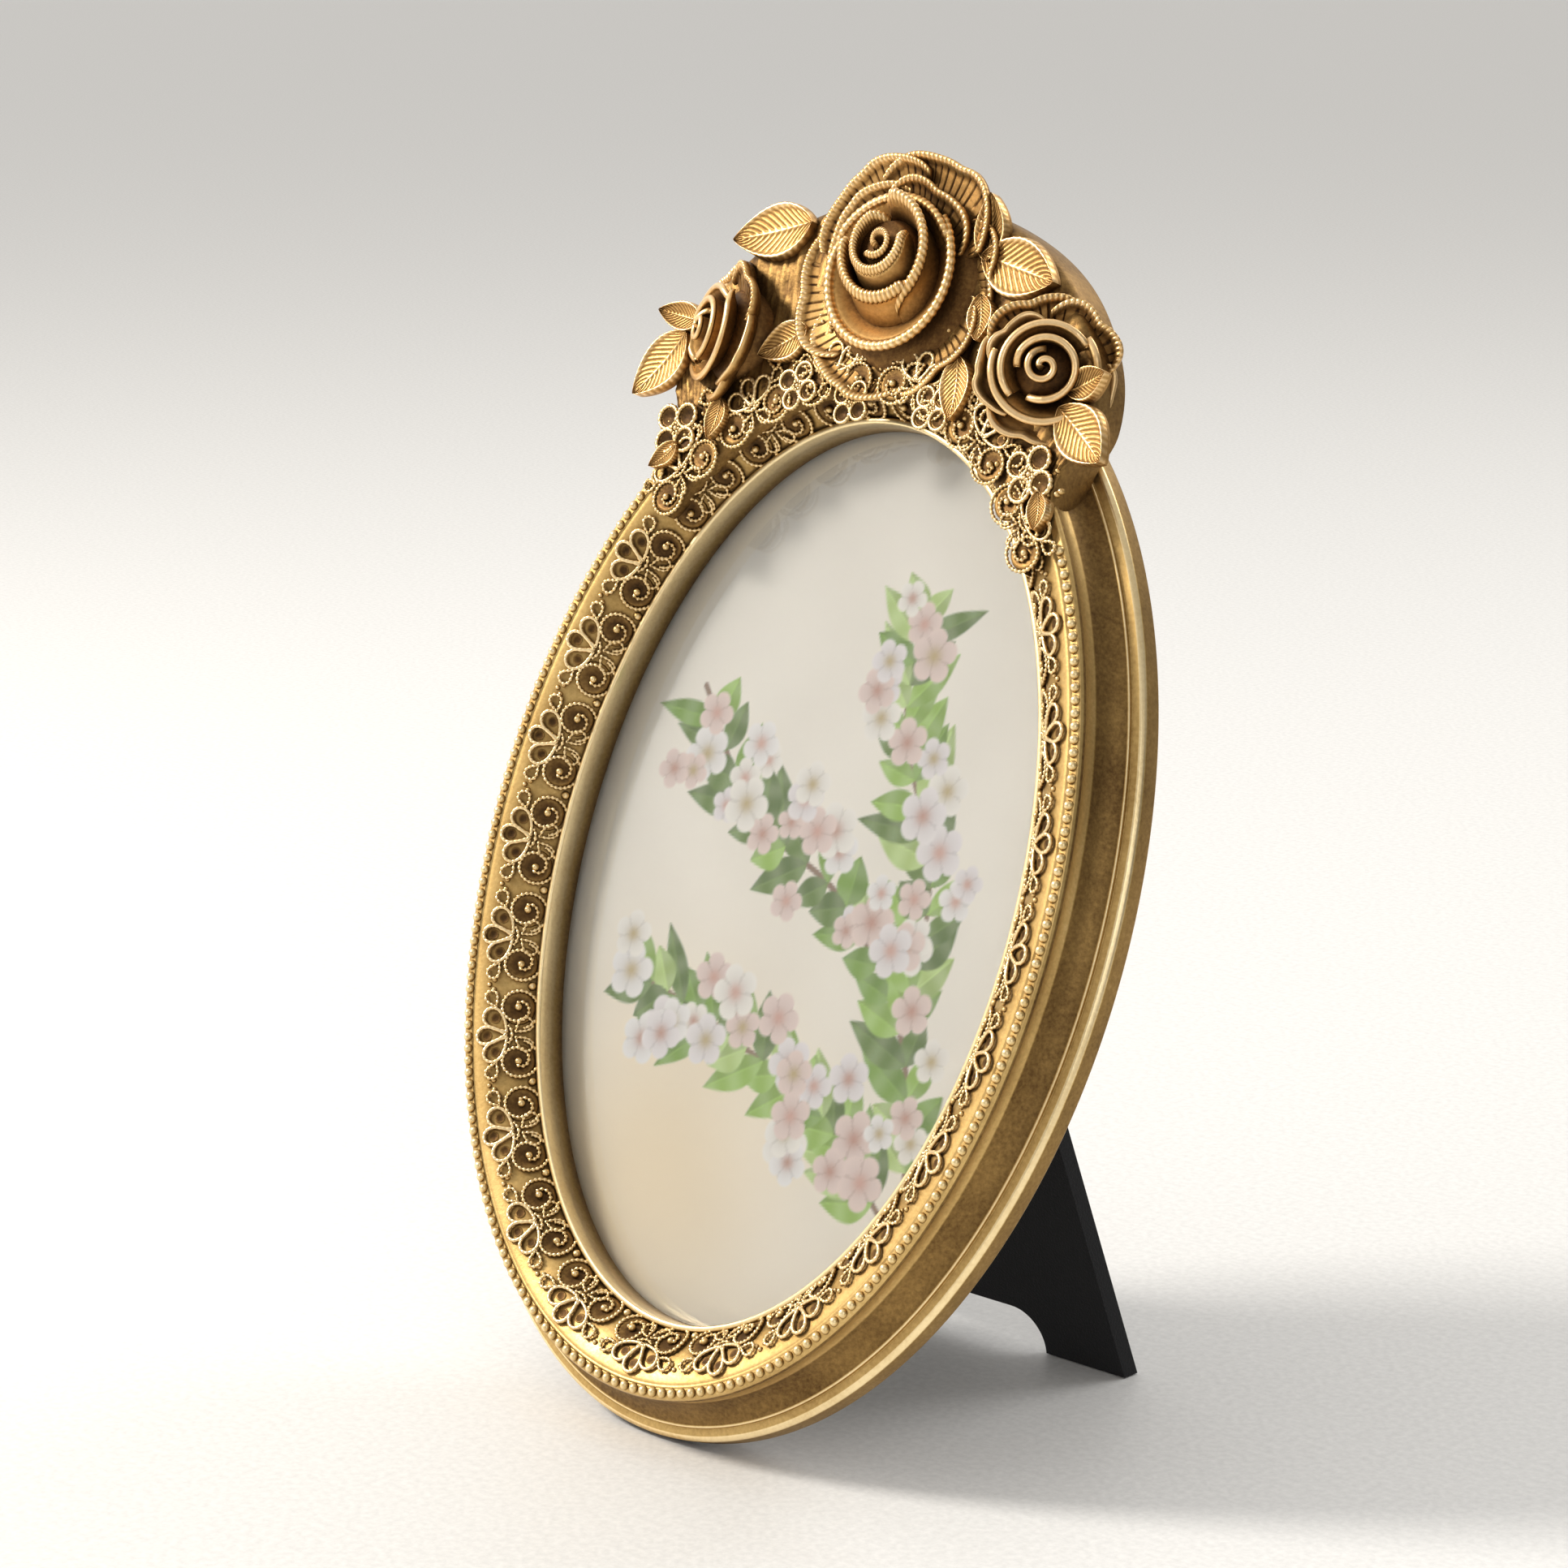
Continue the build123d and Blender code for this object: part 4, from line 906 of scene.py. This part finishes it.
def painted_leaf(x, z, turn, length, width, tone):
    c, s = math.cos(turn), math.sin(turn)
    u, v = (X - x) * c + (Z - z) * s, -(X - x) * s + (Z - z) * c
    t = np.clip(u / length, 0, 1)
    half = width / 2 * np.sin(math.pi * t ** 0.8) + 1e-3
    mask = np.where((u > 0) & (u < length), (half - np.abs(v)) / 0.35 + 0.5, 0)
    shade = np.array(tone) * (0.88 + 0.25 * (v > 0))[..., None] + 0.05 * np.sin(u * 1.3)[..., None]
    paint(mask, np.clip(shade, 0, 1))
    paint(np.where((u > 0) & (u < length * 0.9), (0.16 - np.abs(v)) / 0.2 + 0.5, 0) * 0.5, np.array(tone) * 1.35)


def painted_flower(x, z, radius, turn, tone, heart):
    r, a = np.hypot(X - x, Z - z), np.arctan2(Z - z, X - x) - turn
    lobes = radius * (0.66 + 0.34 * np.abs(np.cos(2.5 * a)) ** 0.6)
    body = np.clip((lobes - r) / 0.4 + 0.5, 0, 1)
    shade = np.array(tone) * (0.78 + 0.22 * np.clip(r / radius, 0, 1))[..., None] - 0.10 * (np.abs(np.cos(2.5 * a)) < 0.25)[..., None]
    paint(body, np.clip(shade, 0, 1))
    paint(np.exp(-(r / (0.30 * radius)) ** 2) * 0.85, heart)


GREENS = [(0.20, 0.34, 0.06), (0.30, 0.47, 0.10), (0.42, 0.56, 0.20), (0.14, 0.22, 0.05)]
WHITES = [(0.88, 0.86, 0.83), (0.84, 0.80, 0.79), (0.90, 0.87, 0.80), (0.80, 0.66, 0.60)]
HEARTS = [(0.50, 0.24, 0.16), (0.62, 0.34, 0.26), (0.48, 0.36, 0.12)]
brown = (0.26, 0.16, 0.10)
arches = [stem([(34, -42), (26, -20), (8, -2), (-14, 8), (-30, 26)], 0.5, brown),
          stem([(30, -46), (14, -34), (-8, -26), (-30, -20)], 0.45, brown),
          stem([(26, -20), (24, 4), (12, 26), (10, 46)], 0.4, brown)]
for curve in arches:
    for k in range(3, 88, 5):
        x, z = curve[k]
        along = math.atan2(*(curve[k + 1] - curve[k - 1])[::-1])
        for side in (-1, 1):
            painted_leaf(x, z, along + side * rng.uniform(0.5, 1.1), rng.uniform(7, 14), rng.uniform(4, 6.4), GREENS[rng.integers(4)])
for curve, count in zip(arches, (30, 22, 16)):
    for k in np.linspace(14, 86, count).astype(int):
        x, z = curve[k] + rng.uniform(-9, 9, 2)
        painted_flower(x, z, rng.uniform(2.8, 4.6), rng.uniform(0, 6), WHITES[rng.integers(4)], HEARTS[rng.integers(3)])

index = -np.ones(X.shape, int)
index[inside] = np.arange(inside.sum())
points = np.stack([X[inside], np.full(inside.sum(), 7.34), Z[inside]], 1)
quad = np.stack([index[:-1, :-1], index[:-1, 1:], index[1:, 1:], index[1:, :-1]], -1).reshape(-1, 4)
quad = quad[(quad >= 0).all(1)]
sheet = bpy.data.meshes.new("Picture_print")
sheet.from_pydata(stand(points).tolist(), [], quad.tolist())
tint = sheet.color_attributes.new("ink", "FLOAT_COLOR", "POINT")
tint.data.foreach_set("color", np.concatenate([np.clip(colour[inside], 0, 1), np.ones((inside.sum(), 1))], 1).ravel())
paper = bpy.data.materials.new("printed_paper")
paper.use_nodes = True
ink = paper.node_tree.nodes.new("ShaderNodeAttribute")
ink.attribute_name = "ink"
paper_shader = paper.node_tree.nodes["Principled BSDF"]
paper.node_tree.links.new(ink.outputs["Color"], paper_shader.inputs["Base Color"])
paper_shader.inputs["Roughness"].default_value = 0.6
sheet.materials.append(paper)
picture = bpy.data.objects.new("Picture_print", sheet)
bpy.context.scene.collection.objects.link(picture)
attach(picture, "root")
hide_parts("picture_print")
print("print points", len(sheet.vertices))

# %% [markdown]
# The room is a plain pale floor with soft studio light. The main light comes from the
# upper left in front, as in a room with one window, and a weaker one fills the other side.

# %% Floor, light and camera
bpy.ops.mesh.primitive_plane_add(size=30, location=(0, 0, -0.0002))
floor = bpy.context.object
floor.name = "Floor"
pale = plain("pale_floor", (0.80, 0.79, 0.77), 0.5)
floor.data.materials.append(pale)
floor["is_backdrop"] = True

world = bpy.data.worlds.new("Room")
bpy.context.scene.world = world
world.use_nodes = True
tree = world.node_tree
tree.nodes.clear()
output = tree.nodes.new("ShaderNodeOutputWorld")
seen, lit = tree.nodes.new("ShaderNodeBackground"), tree.nodes.new("ShaderNodeBackground")
seen.inputs["Color"].default_value = (0.93, 0.93, 0.92, 1)
seen.inputs["Strength"].default_value = 1.0
geometry = tree.nodes.new("ShaderNodeTexCoord")
split = tree.nodes.new("ShaderNodeSeparateXYZ")
tree.links.new(geometry.outputs["Generated"], split.inputs["Vector"])
side_light = maths(tree, "MULTIPLY", split.outputs["X"], -0.55)
up_light = maths(tree, "MULTIPLY", split.outputs["Z"], 0.35)
level = maths(tree, "ADD", maths(tree, "ADD", side_light, up_light), 0.45, True)
tree.links.new(ramp(tree, level, [(0.0, (0.10, 0.10, 0.10)), (0.5, (0.50, 0.49, 0.47)), (1.0, (1.0, 0.98, 0.95))]), lit.inputs["Color"])
lit.inputs["Strength"].default_value = 1.0
paths = tree.nodes.new("ShaderNodeLightPath")
choose = tree.nodes.new("ShaderNodeMixShader")
tree.links.new(paths.outputs["Is Camera Ray"], choose.inputs["Fac"])
tree.links.new(lit.outputs["Background"], choose.inputs[1])
tree.links.new(seen.outputs["Background"], choose.inputs[2])
tree.links.new(choose.outputs["Shader"], output.inputs["Surface"])


def area(name, place, target, size, power, tone):
    light = bpy.data.lights.new(name, "AREA")
    light.shape, light.size, light.energy, light.color = "DISK", size, power, tone
    lamp = bpy.data.objects.new(name, light)
    bpy.context.scene.collection.objects.link(lamp)
    lamp.location = place
    lamp.rotation_mode = "QUATERNION"
    lamp.rotation_quaternion = (Vector(target) - Vector(place)).to_track_quat("-Z", "Y")
    return lamp


area("Window", (-0.75, -0.55, 0.80), (0, 0.02, 0.09), 0.28, 14, (1.0, 0.96, 0.90))
area("Fill", (0.9, -0.7, 0.5), (0, 0.02, 0.09), 0.8, 2.2, (0.95, 0.97, 1.0))
area("Rim", (0.2, 0.9, 0.9), (0, 0.02, 0.12), 0.6, 4, (1, 1, 1))

AZIMUTH, ELEVATION, ROLL = math.radians(43.30), math.radians(13.40), math.radians(-0.25)
back = Vector((math.sin(AZIMUTH) * math.cos(ELEVATION), -math.cos(AZIMUTH) * math.cos(ELEVATION), math.sin(ELEVATION)))
right = Vector((0, 0, 1)).cross(back).normalized()
up = back.cross(right)
right, up = right * math.cos(ROLL) + up * math.sin(ROLL), up * math.cos(ROLL) - right * math.sin(ROLL)
lens = bpy.data.cameras.new("Camera")
lens.sensor_width, lens.lens, lens.clip_start, lens.clip_end = 36, 100.62, 0.01, 20
camera = bpy.data.objects.new("Camera", lens)
bpy.context.scene.collection.objects.link(camera)
turned = Matrix((right, up, back)).transposed().to_4x4()
camera.matrix_world = Matrix.Translation((0.4414, -0.4414, 0.2494)) @ turned
bpy.context.scene.camera = camera
bpy.context.scene.view_settings.view_transform = "Standard"

low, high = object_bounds()
sizes["seen_low"], sizes["seen_high"] = list(low), list(high)
print("seen box", [round(v, 4) for v in low], [round(v, 4) for v in high])
